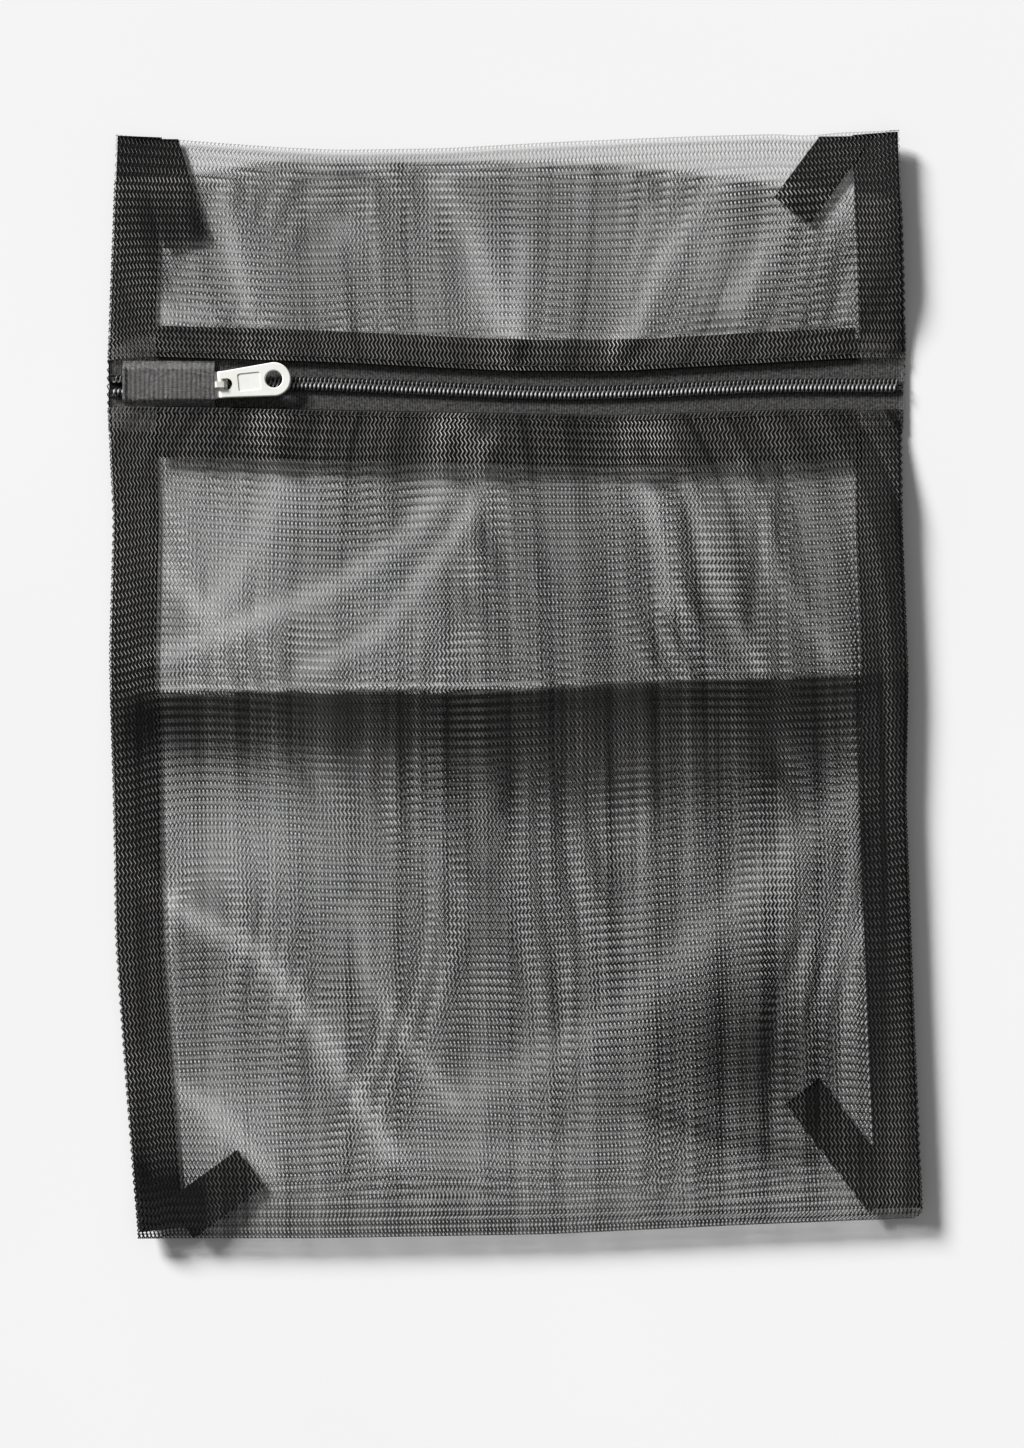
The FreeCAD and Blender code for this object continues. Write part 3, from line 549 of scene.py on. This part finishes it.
def net(name, first, last):
    """The net from one row to another: ridged zigzag wales and the bars between them."""
    rows = np.arange(first, last + 1)
    bar_half = np.tile([-BAR / 2, BAR / 2], (len(rows), 1))
    bar_half[0, 0] = bar_half[-1, 1] = 0
    zig = np.where(rows % 2 == 0, ZIG, -ZIG)[:, None, None, None]
    centre = (np.arange(WALES) + 0.5)[None, None, :, None] + zig
    row = rows[:, None, None, None]
    x, y, _ = wrap(centre / WALES, row + 0 * centre)
    s = row + bar_half[:, :, None, None] * (1 - 0.4 * openness(x, y))
    s = np.broadcast_to(s, (len(rows), 2, WALES, 3))
    on_back = (rows > ROW_ENDS[1]) & (rows < ROW_ENDS[4])
    leg = ((rows[:, None] + np.array([1, 0])) % 2)[:, :, None, None]
    slack = np.where(on_back, BACK_YARN_HALF, FRONT_YARN_HALF)[:, None, None, None]
    slack = slack * np.where(leg == 0, 1 - LEG_UNEVEN, 1 + LEG_UNEVEN)
    on_back = on_back[:, None, None, None]
    drawn = openness(x, y)
    give = np.where(drawn > 0, THINNED, np.where(on_back, BUNCHED_BACK, BUNCHED_FRONT))
    half = np.minimum(slack * (1 - give * drawn), WIDEST_YARN_HALF)
    u = np.clip((centre + half * np.array([-1, 0, 1])) / WALES, 0, 1)
    place = np.stack(wrap(u, s), axis=-1)
    along_u = np.stack(wrap(u + 0.2 / WALES, s), axis=-1) - place
    along_s = np.stack(wrap(u, s + 0.2), axis=-1) - place
    normal = np.cross(along_u, along_s)
    normal /= np.linalg.norm(normal, axis=-1, keepdims=True) + 1e-12
    place[..., 1, :] += YARN_RIDGE * normal[..., 1, :]

    number = np.arange(s.size).reshape(s.shape)
    quads = []
    for side in (0, 1):
        low, high = number[:, 0, :, side : side + 2], number[:, 1, :, side : side + 2]
        quads.append(np.stack([low[..., 0], low[..., 1], high[..., 1], high[..., 0]], axis=-1))
        low, high = number[:-1, 1, :, side : side + 2], number[1:, 0, :, side : side + 2]
        quads.append(np.stack([low[..., 0], low[..., 1], high[..., 1], high[..., 0]], axis=-1))
    low, high = number[:, 0], number[:, 1]
    bars = [low[:, :-1, 2], low[:, 1:, 0], high[:, 1:, 0], high[:, :-1, 2]]
    quads.append(np.stack(bars, axis=-1))
    faces = np.concatenate([quad.reshape(-1, 4) for quad in quads])
    piece = new_mesh(name, place.reshape(-1, 3), faces)
    # Painted light: the legs of one slant get a full painted highlight, those of the other a weaker one that
    # rises near the zip, and the back layer keeps only a share as painted shade.
    near_zip = np.exp(-(((y - ZIP_Y) / 26) ** 2))
    second = 0.2 + 0.14 * np.sin(x / 19 + y / 31) + 0.3 * near_zip
    leg_highlight_paint = np.where(leg == 0, 1.0, second)
    highlight_paint_shares = leg_highlight_paint * np.array(PAINTED_HIGHLIGHT_SHARES) * np.where(on_back, BACK_SHADE_PAINT_SHARE, 1.0)
    paint_points(piece, np.broadcast_to(yarn_highlight_paint(x, y) * highlight_paint_shares, s.shape))
    return piece


def rounded_section(corners=20, squareness=0.3):
    """Points round a flat rounded section, from -1 to 1 both ways."""
    angle = np.arange(corners) / corners * 2 * math.pi
    across_part = np.sign(np.cos(angle)) * np.abs(np.cos(angle)) ** squareness
    up_part = np.sign(np.sin(angle)) * np.abs(np.sin(angle)) ** squareness
    return across_part, up_part


def ribbon(name, spine, half_width, low, high, wave=0.0, tilt=0.0, dip=0.0, level=0.0, height=None):
    """A flat woven band along a line of (x, y) points, with ends cut square.

    tilt lifts its left edge, as seen along the line, and dip takes it down where the zip crosses
    it. level turns its first end from square (0) to level (1), as where a tape is folded over
    along the top. height gives the middle's z at each place, instead of halfway between low and
    high.
    """
    spine = np.asarray(spine, float)
    length = run_along(spine)
    count = max(4, int(length[-1] / 2))
    run = np.linspace(0, length[-1], count)
    centre = np.stack([np.interp(run, length, spine[:, axis]) for axis in (0, 1)], axis=1)
    heading = np.gradient(centre, axis=0)
    heading /= np.linalg.norm(heading, axis=1, keepdims=True)
    sideways = np.stack([heading[:, 1], -heading[:, 0]], axis=1)
    across_part, up_part = rounded_section()
    offset = half_width * across_part
    xy = centre[:, None, :] + sideways[:, None, :] * offset[None, :, None]
    if level:
        slant = level * heading[:, 0] / heading[:, 1] * np.clip(1 - run / run[-1] * 1.3, 0, 1)
        xy = xy + heading[:, None, :] * (slant[:, None] * offset[None, :])[..., None]
    lift = wave * np.sin(run / 6.1)[:, None] * np.cos(offset / half_width * 1.5)[None, :]
    under_zip = np.exp(-(((centre[:, 1] - ZIP_Y) / 11) ** 4))[:, None]
    lift = lift - tilt * (offset / half_width - 1)[None, :] / 2 * (1 - under_zip) - dip * under_zip
    middle = (low + high) / 2 if height is None else height(xy[..., 0], xy[..., 1])
    z = middle + (high - low) / 2 * up_part[None, :] + lift
    points = np.concatenate([xy, z[..., None]], axis=-1)
    return tube_mesh(name, points, offset, run)


def tube_faces(count, corners, start=0):
    """Quads round a closed tube and across both its ends, with its points numbered from start."""
    number = np.arange(count * corners).reshape(count, corners) + start
    after = np.roll(number, -1, axis=1)
    sides = np.stack([number[:-1], after[:-1], after[1:], number[1:]], axis=-1).reshape(-1, 4)
    caps = []
    for ring in (number[0], number[-1][::-1]):
        for step_in in range(corners // 2 - 1):
            caps.append([ring[step_in], ring[step_in + 1], ring[-step_in - 2], ring[-step_in - 1]])
    return np.concatenate([sides, np.array(caps)])


def tube_mesh(name, rings, offset, run):
    """A closed band from rings of points, with capped ends and a UV map in mm."""
    count, corners = rings.shape[:2]
    piece = new_mesh(name, rings.reshape(-1, 3), tube_faces(count, corners))
    lay_uv(piece, np.stack([np.tile(offset, count), np.repeat(run, corners)], axis=1))
    return piece


def round_tube(path, radius, sides=6):
    """Rings of points round a path of (x, y, z) points."""
    heading = np.gradient(path, axis=0)
    heading /= np.linalg.norm(heading, axis=1, keepdims=True)
    sideways = np.cross(heading, [0.0, 0.0, 1.0])
    sideways /= np.linalg.norm(sideways, axis=1, keepdims=True) + 1e-12
    upward = np.cross(sideways, heading)
    angle = np.arange(sides) / sides * 2 * math.pi
    ring = np.cos(angle)[None, :, None] * sideways[:, None, :]
    ring = ring + np.sin(angle)[None, :, None] * upward[:, None, :]
    return path[:, None, :] + radius * ring


def join_tubes(name, tubes):
    """One object from several closed tubes of rings."""
    points, faces, start = [], [], 0
    for rings in tubes:
        count, corners = rings.shape[:2]
        points.append(rings.reshape(-1, 3))
        faces.append(tube_faces(count, corners, start))
        start += count * corners
    return new_mesh(name, np.concatenate(points), np.concatenate(faces))


def thread_stitch(start, end, radius=0.2, rise=0.0):
    """Rings of one sewing stitch, plump in the middle and sunk at both ends."""
    share = np.linspace(0, 1, 7)[:, None]
    path = start + (end - start) * share
    path[:, 2] += rise * np.sin(math.pi * share[:, 0])
    rings = round_tube(path, 1.0)
    plump = radius * (0.35 + 0.65 * np.sin(math.pi * share[:, 0]) ** 0.5)
    return path[:, None, :] + (rings - path[:, None, :]) * plump[:, None, None]


def stitch_line(name, points, pitch, length, surface):
    """A row of stitches along a line of (x, y) points, lying on a surface."""
    points = np.asarray(points, float)
    run = run_along(points)
    tubes = []
    for number in range(int(run[-1] // pitch)):
        ends = []
        for along in (number * pitch, number * pitch + length):
            x = np.interp(along, run, points[:, 0])
            y = np.interp(along, run, points[:, 1])
            ends.append(np.array([x, y, float(surface(x, y))]))
        tubes.append(thread_stitch(*ends, rise=0.16))
    return join_tubes(name, tubes)


# ------------------------------------------------------------------ materials


class Shader:
    """A small helper that adds nodes to one material."""

    def __init__(self, name):
        self.material = bpy.data.materials.new(name)
        self.material.use_nodes = True
        self.nodes = self.material.node_tree.nodes
        self.links = self.material.node_tree.links
        self.surface = self.nodes["Principled BSDF"]

    def add(self, kind, **values):
        node = self.nodes.new(kind)
        for key, value in values.items():
            setattr(node, key, value)
        return node

    def join(self, out, into):
        self.links.new(out, into)

    def set(self, **values):
        for key, value in values.items():
            self.surface.inputs[key.replace("_", " ")].default_value = value

    def maths(self, operation, first, second=0.0):
        node = self.add("ShaderNodeMath", operation=operation)
        for socket, value in zip(node.inputs, (first, second), strict=False):
            if isinstance(value, bpy.types.NodeSocket):
                self.join(value, socket)
            else:
                socket.default_value = value
        return node.outputs[0]

    def noise(self, scale, detail=3.0):
        node = self.add("ShaderNodeTexNoise")
        node.inputs["Scale"].default_value = scale
        node.inputs["Detail"].default_value = detail
        self.join(self.add("ShaderNodeTexCoord").outputs["Object"], node.inputs["Vector"])
        return node.outputs["Fac"]

    def colours(self, factor, *stops):
        ramp = self.add("ShaderNodeValToRGB")
        elements = ramp.color_ramp.elements
        while len(elements) < len(stops):
            elements.new(0.5)
        for element, (position, colour) in zip(elements, stops, strict=True):
            element.position = position
            element.color = (*colour, 1)
        self.join(factor, ramp.inputs["Fac"])
        return ramp.outputs["Color"]

    def bump(self, height, distance, strength=1.0):
        node = self.add("ShaderNodeBump")
        node.inputs["Distance"].default_value = distance
        node.inputs["Strength"].default_value = strength
        self.join(height, node.inputs["Height"])
        self.join(node.outputs["Normal"], self.surface.inputs["Normal"])

    def spread(self, factor, low, high):
        node = self.add("ShaderNodeMapRange")
        node.inputs["To Min"].default_value = low
        node.inputs["To Max"].default_value = high
        self.join(factor, node.inputs["Value"])
        return node.outputs["Result"]


def grey(value, tint=(1, 1, 1)):
    """A grey, slightly tinted."""
    return tuple(value * part for part in tint)


def make_net_material():
    """Black polyester yarn: glossy filaments with a fine twist, drawn from black to warm grey by the painted
    highlights stored on its points.
    """
    shade = Shader("mesh_yarn")
    shade.set(Specular_IOR_Level=0.25)
    # Painted highlights and shade: the points' stored painted light sets how light the yarn is drawn.
    painted_light = shade.add("ShaderNodeAttribute", attribute_name="painted_light").outputs["Fac"]
    twist = shade.spread(shade.noise(900, 3), 0.6, 1.4)
    warm = (1, 0.97, 0.93)
    stops = (0, grey(0.004)), (0.3, grey(0.27, warm)), (1, grey(0.9, warm))
    colour = shade.colours(shade.maths("MULTIPLY", painted_light, twist), *stops)
    shade.join(colour, shade.surface.inputs["Base Color"])
    fine = shade.noise(2600, 2)
    shade.join(shade.spread(fine, 0.35, 0.6), shade.surface.inputs["Roughness"])
    shade.bump(fine, 0.00005, 0.6)
    return shade.material


def make_coil_material():
    """Black nylon filament, with painted glints on the tops of the teeth, mottled at random."""
    shade = Shader("coil_nylon")
    shade.set(Specular_IOR_Level=0.5)
    # Painted glints: the points' stored painted light, mottled, lightens the black filament.
    painted_light = shade.add("ShaderNodeAttribute", attribute_name="painted_light").outputs["Fac"]
    mottle = shade.noise(500, 3)
    worn_and_glint = shade.maths("MULTIPLY", painted_light, shade.spread(mottle, 0.5, 1.5))
    stops = (0, grey(0.006)), (0.35, grey(0.1)), (1, grey(0.6))
    shade.join(shade.colours(worn_and_glint, *stops), shade.surface.inputs["Base Color"])
    shade.join(shade.spread(mottle, 0.22, 0.4), shade.surface.inputs["Roughness"])
    return shade.material


def woven(name, dark, light, rib, twill, roughness, depth):
    """A narrow woven tape: ribs across it, a slanted twill, and loose fibres."""
    shade = Shader(name)
    shade.set(Roughness=roughness, Specular_IOR_Level=0.12, Sheen_Weight=0.02, Sheen_Roughness=0.5)
    uv = shade.add("ShaderNodeUVMap", uv_map="cloth").outputs["UV"]
    parts = shade.add("ShaderNodeSeparateXYZ")
    shade.join(uv, parts.inputs[0])
    side, along = parts.outputs[0], parts.outputs[1]
    turn = 2 * math.pi
    wave_along = shade.maths("SINE", shade.maths("MULTIPLY", along, turn / rib))
    slanted = shade.maths("ADD", side, shade.maths("MULTIPLY", along, twill))
    wave_slant = shade.maths("SINE", shade.maths("MULTIPLY", slanted, turn / (rib * 0.8)))
    weave = shade.maths("ADD", wave_along, wave_slant)
    fibre = shade.noise(1000, 1.5)
    height = shade.maths("ADD", shade.maths("MULTIPLY", weave, 0.25), fibre)
    tone = shade.spread(height, 0.0, 1.0)
    colour = shade.colours(tone, (0.44, dark), (0.6, light))
    shade.join(colour, shade.surface.inputs["Base Color"])
    shade.join(shade.spread(fibre, roughness - 0.1, roughness + 0.1), shade.surface.inputs["Roughness"])
    shade.bump(height, depth, 0.8)
    return shade.material


def knitted_elastic():
    """Ribbed elastic: narrow columns of small chevrons, with loose fibres."""
    rise, repeat = 1.1, 0.8
    shade = Shader("garage_weave")
    shade.set(Roughness=0.7, Specular_IOR_Level=0.2)
    parts = shade.add("ShaderNodeSeparateXYZ")
    shade.join(shade.add("ShaderNodeUVMap", uv_map="cloth").outputs["UV"], parts.inputs[0])
    side, along = parts.outputs[0], parts.outputs[1]
    tooth = shade.maths("PINGPONG", along, RIB_PITCH / 2)
    slanted = shade.maths("ADD", side, shade.maths("MULTIPLY", tooth, rise))
    chevron = shade.maths("SINE", shade.maths("MULTIPLY", slanted, 2 * math.pi / repeat))
    fibre = shade.noise(1900, 2)
    height = shade.maths("ADD", shade.maths("MULTIPLY", chevron, 0.14), fibre)
    warm = (1, 0.97, 0.96)
    colour = shade.colours(height, (0.36, grey(0.012)), (0.5, grey(0.07, warm)), (0.74, grey(0.3, warm)))
    shade.join(colour, shade.surface.inputs["Base Color"])
    shade.bump(height, 0.0001, 0.8)
    return shade.material


def moulded(name, colour, worn_and_glint, roughness, scale):
    """A moulded or painted surface with faint mottling."""
    shade = Shader(name)
    shade.set(Roughness=roughness, Specular_IOR_Level=0.5)
    mottle = shade.noise(scale, 5)
    shade.join(shade.colours(mottle, (0.3, worn_and_glint), (0.62, colour)), shade.surface.inputs["Base Color"])
    shade.join(shade.spread(mottle, roughness + 0.12, roughness - 0.05), shade.surface.inputs["Roughness"])
    shade.bump(shade.noise(scale * 5, 2), 0.00004, 0.4)
    return shade.material


def dress(piece, material, body="bag", replaced=()):
    """Give a piece its material and its body."""
    piece.data.materials.clear()
    piece.data.materials.append(material)
    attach(piece, body)
    if replaced:
        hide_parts(*replaced)
    return piece


# ------------------------------------------------------------------ pieces


def build_net(material):
    """The one cloth of the bag, in stretches that follow each other round the folds."""
    upper_end = int(ROW_ENDS[1]) + ROWS["top"] // 2
    back_end = int(ROW_ENDS[3]) + ROWS["bottom"] // 2
    stretches = {"net_front_upper": (0, upper_end, "mesh_front_upper")}
    for name, node, start, end in (
        ("net_back", "mesh_back", upper_end, back_end),
        ("net_front_lower", "mesh_front_lower", back_end, int(ROW_ENDS[-1])),
    ):
        cuts = np.linspace(start, end, 4).astype(int)
        for number, (low, high) in enumerate(zip(cuts, cuts[1:], strict=False), 1):
            stretches[f"{name}_{number}"] = (int(low), int(high), node)
    for name, (low, high, node) in stretches.items():
        piece = dress(net(name, low, high), material, replaced=(node,))


def seam_spine(seam, inset, low, high):
    """Points along a side seam, a fixed distance inside it."""
    return [(float(seam(y)) + inset, y) for y in np.linspace(low, high, 60)]


def over_net(x, y):
    """Height of a thread that is sewn down on the front layer."""
    return front_height(x, y) + 0.12


def under_net(x, y):
    """Height of a band that lies just under the front layer."""
    return front_height(x, y) - UNDER_NET


def build_bindings(material):
    """Seam bindings inside both sides, with their loose ends, and the zip's two hems."""
    low, high = binding_low[2] + 0.05, binding_high[2] - 0.1
    sides = {
        "left": (seam_spine(left_seam, BINDING_INSET, -203.6, 205.2), "binding_left"),
        "right": (seam_spine(right_seam_line, -BINDING_INSET, 206.0, -195.6), "binding_right"),
    }
    for side, (spine, node) in sides.items():
        piece = ribbon(f"seam_tape_{side}", spine, BINDING_WIDTH / 2, low, high, 0.05, SEAM_TILT, SEAM_DIP)
        dress(piece, material, replaced=(node,))
    for place, (start, end, half, level, node) in TAPE_ENDS.items():
        piece = ribbon(f"tape_end_{place}", (start, end), half, high + 0.08, high + 0.6, 0.04, level=level)
        dress(piece, material, replaced=(node,))
    hems = ("upper", 1, upper_lip, binding_low, binding_high), ("lower", -1, lower_lip, hem_low, hem_high)
    for side, sign, lip, box_low, box_high in hems:
        half = (box_high[1] - box_low[1]) / 2
        x = np.linspace(box_low[0], box_high[0], 60)
        # The hem's dark edge past the lip is a painted shadow of the lip on the tape.
        spine = np.stack([x, lip(x) + sign * (half - HEM_SHADOW_PEEP)], axis=1)
        piece = ribbon(f"zip_hem_{side}", spine, half, low, high, 0.05, height=under_net)
        dress(piece, material, replaced=(f"binding_zip_{side}",))


def half_opening(x):
    """How far each half of the zip stands off its centre line at x."""
    return HALF_GAP * step(CLOSED_X, OPEN_X, x)


def zip_line(sign, offset):
    """Points (x, y) along one half of the zip, at a distance from its centre line."""
    x = np.linspace(tape_low[0], tape_high[0], 150)
    y = ZIP_Y + zip_bow(x) + sign * (offset + half_opening(x))
    return np.stack([x, y], axis=1)


def build_tapes(material):
    """The two woven tapes of the zip, which show between the lips."""
    half, top = TAPE_WIDTH / 2, tape_high[2] - 0.05
    for side, sign in (("upper", 1), ("lower", -1)):
        piece = ribbon(f"zip_cloth_{side}", zip_line(sign, 0.1 + half), half, tape_low[2], top, 0.03)
        dress(piece, material, replaced=(f"zip_tape_{side}",))


def build_coils(material, thread):
    """Both coils as wound filaments, the cord inside each, and the thread that holds it."""
    steps = 14
    for side, sign, lead in (("upper", 1, 0.0), ("lower", -1, 0.5)):
        turns = int((tape_high[0] - tape_low[0] - 3) / COIL_PITCH)
        turn = np.arange(turns * steps + 1) / steps
        x = tape_low[0] + 1.5 + COIL_PITCH * (turn + lead * 0.999)
        reach = COIL_REACH / 2 + COIL_REACH / 2 * np.cos(2 * math.pi * turn)
        x = x + 0.32 * np.sin(4 * math.pi * turn) + sign * 0.3 * reach
        y = ZIP_Y + zip_bow(x) + sign * (half_opening(x) + reach - 0.1)
        head = (1 - np.cos(2 * math.pi * turn)) / 2
        z = COIL_Z - sign * 0.6 * np.sin(2 * math.pi * turn) + 0.3 * head
        path = np.stack([x, y, z], axis=1)
        rings = round_tube(path, 1.0)
        bead = head**3 if side == "upper" else np.exp(-(((reach - 1.0) / 0.65) ** 2))
        rings = path[:, None, :] + (rings - path[:, None, :]) * (FILAMENT + BEAD * bead)[:, None, None]
        piece = join_tubes(f"coil_wound_{side}", [rings])
        # Painted glints: the upper coil's tops a little lighter, the lower coil's brightest at its bead,
        # nothing below the tops.
        glint = 0.3 + 0.12 * head if side == "upper" else 0.12 + 0.88 * bead
        paint_points(piece, glint[:, None] * np.clip((rings[..., 2] - 2.85) / 0.6, 0, 1))
        dress(piece, material, replaced=(f"coil_{side}",))
        core = zip_line(sign, 1.45)
        path = np.concatenate([core, np.full((len(core), 1), 3.05)], axis=1)
        cord = join_tubes(f"coil_core_{side}", [round_tube(path, 0.2, 8)])
        dress(cord, thread, replaced=(f"coil_cord_{side}",))
        line = zip_line(sign, 2.72)
        sewn = stitch_line(f"coil_sewing_{side}", line, COIL_PITCH * 2, 2.4, lambda x, y: tape_high[2] + 0.12)
        dress(sewn, thread, replaced=(f"coil_thread_{side}",))


def build_garage(material):
    """The ribbed elastic pocket over the zip's left end, highest at its mouth."""
    left, right = garage_low[0], garage_high[0]
    low, high = ZIP_Y - GARAGE_BELOW, ZIP_Y + GARAGE_ABOVE
    x = np.linspace(left, right, 240)
    y = np.linspace(low, high, 70)
    grid_x, grid_y = np.meshgrid(x, y, indexing="ij")
    share = (grid_x - left) / (right - left)
    roof = GARAGE_ROOF + GARAGE_RISE * step(0.05, 0.8, share)
    inside = np.minimum(grid_y - low, high - grid_y)
    top = GARAGE_FOOT + (roof - GARAGE_FOOT) * step(0.4, 3.4, inside)
    gathered_edge = np.exp(-((high - grid_y) / 2.2) ** 2) * step(0.35, 0.9, share)
    rib = (0.07 + 0.07 * gathered_edge) * np.cos(2 * math.pi * grid_x / RIB_PITCH) * step(0, 1.0, inside)
    tooth = np.abs((grid_x % RIB_PITCH) - RIB_PITCH / 2)
    weave = 0.03 * np.sin(2 * math.pi * (grid_y + 0.6 * tooth) / 0.9)
    outer = top + rib + weave
    edge = step(0, 0.5, np.minimum(inside, np.minimum(grid_x - left, right - grid_x)))
    inner = top - 0.12 - 0.55 * edge
    points = np.concatenate(
        [
            np.stack([grid_x, grid_y, outer], axis=-1).reshape(-1, 3),
            np.stack([grid_x, grid_y, inner], axis=-1).reshape(-1, 3),
        ]
    )
    number = np.arange(grid_x.size).reshape(grid_x.shape)
    upper = np.stack([number[:-1, :-1], number[1:, :-1], number[1:, 1:], number[:-1, 1:]], axis=-1)
    lower = upper[..., ::-1] + grid_x.size
    rim = np.concatenate([number[:, 0], number[-1, 1:], number[-2::-1, -1], number[0, -2::-1]])
    wall = np.stack([rim[:-1] + grid_x.size, rim[1:] + grid_x.size, rim[1:], rim[:-1]], axis=-1)
    faces = np.concatenate([upper.reshape(-1, 4), lower.reshape(-1, 4), wall])
    piece = new_mesh("garage_cloth", points, faces)
    lay_uv(piece, points[:, 1::-1])
    dress(piece, material, replaced=("garage_elastic",))


def build_stitches(thread):
    """Sewing along both side seams, both lips and the sewn end of the garage."""
    tape_top = binding_high[2] - 0.02
    for side, seam, sign in (("left", left_seam, 1), ("right", right_seam_line, -1)):
        line = seam_spine(seam, sign * SEWING_INSET, -98, 148)
        gap = [point for point in line if abs(point[1] - ZIP_Y) > 20]
        below = [point for point in gap if point[1] < ZIP_Y]
        above = [point for point in gap if point[1] > ZIP_Y]
        for name, run in ((f"seam_sewing_{side}", below), (f"seam_sewing_{side}_top", above)):
            piece = stitch_line(name, run, STITCH_PITCH, STITCH_LENGTH, lambda x, y: tape_top)
            dress(piece, thread, replaced=(f"stitch_{side}",))
    x = np.linspace(-140, 136, 80)
    for side, lip, sign in (("upper", upper_lip, 1), ("lower", lower_lip, -1)):
        line = np.stack([x, lip(x) + sign * LIP_SEWING], axis=1)
        piece = stitch_line(f"lip_sewing_{side}", line, STITCH_PITCH, STITCH_LENGTH, over_net)
        dress(piece, thread, replaced=(f"stitch_zip_{side}",))
    column = garage_low[0] + 1.1
    line = ((column, ZIP_Y - 6.8), (column, ZIP_Y + 7.6))
    piece = stitch_line("garage_sewing", line, 2.0, 1.6, lambda x, y: 4.95)
    dress(piece, thread, replaced=("stitch_garage",))


def dress_cad(node, material):
    """A better material on a CAD node that keeps its own shape."""
    for piece_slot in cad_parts[node].material_slots:
        piece_slot.material = material


# ------------------------------------------------------------------ stage


def build_floor():
    """A plain pale floor."""
    half = 1500
    corners = np.array([(-half, -half, 0), (half, -half, 0), (half, half, 0), (-half, half, 0)], float)
    floor = new_mesh("floor", corners, np.array([[0, 1, 2, 3]]), smooth=False)
    shade = Shader("floor_paper")
    shade.set(Roughness=0.9, Specular_IOR_Level=0.1)
    colour = shade.colours(shade.noise(4, 2), (0.3, grey(0.86)), (0.7, grey(0.88)))
    shade.join(colour, shade.surface.inputs["Base Color"])
    floor.data.materials.append(shade.material)


def build_light():
    """A low soft key from the upper left, and an even white surround."""
    sun = bpy.data.lights.new("key", "SUN")
    sun.energy = 6.5
    sun.angle = math.radians(16)
    lamp = bpy.data.objects.new("key", sun)
    lamp.rotation_euler = (math.radians(-66), 0, math.radians(45))
    bpy.context.scene.collection.objects.link(lamp)
    world = bpy.data.worlds.new("studio")
    world.use_nodes = True
    world.node_tree.nodes["Background"].inputs["Color"].default_value = (1, 1, 1, 1)
    world.node_tree.nodes["Background"].inputs["Strength"].default_value = 0.2
    bpy.context.scene.world = world
    bpy.context.scene.view_settings.view_transform = "Standard"


def build_camera():
    """Straight down, far enough away that the bag looks flat."""
    camera = bpy.data.cameras.new("camera")
    camera.sensor_fit = "VERTICAL"
    camera.angle = 2 * math.atan(VIEW_HEIGHT * MM / 2 / CAMERA_DISTANCE)
    camera.clip_start = 0.01
    holder = bpy.data.objects.new("camera", camera)
    holder.location = (VIEW_MIDDLE[0] * MM, VIEW_MIDDLE[1] * MM, CAMERA_DISTANCE)
    bpy.context.scene.collection.objects.link(holder)
    bpy.context.scene.camera = holder


def build():
    """The whole model, piece by piece."""
    thread = woven("sewing_thread", grey(0.015), grey(0.06), 0.3, 1.0, 0.6, 0.00003)
    build_net(make_net_material())
    build_bindings(woven("binding_tape", grey(0.003), grey(0.01), 0.55, 1.2, 0.8, 0.00012))
    build_tapes(woven("zip_twill", grey(0.006), grey(0.13, (1, 0.97, 0.95)), 0.62, 1.0, 0.7, 0.00012))
    build_coils(make_coil_material(), thread)
    build_garage(knitted_elastic())
    build_stitches(thread)
    ivory = moulded("puller_ivory", (0.88, 0.88, 0.85), (0.82, 0.81, 0.75), 0.38, 120)
    paint = moulded("slider_ivory", (0.72, 0.71, 0.66), (0.45, 0.44, 0.41), 0.3, 260)
    dress_cad("puller_tab", ivory)
    dress_cad("slider_body", paint)


build_camera()
build_floor()
build_light()
build()
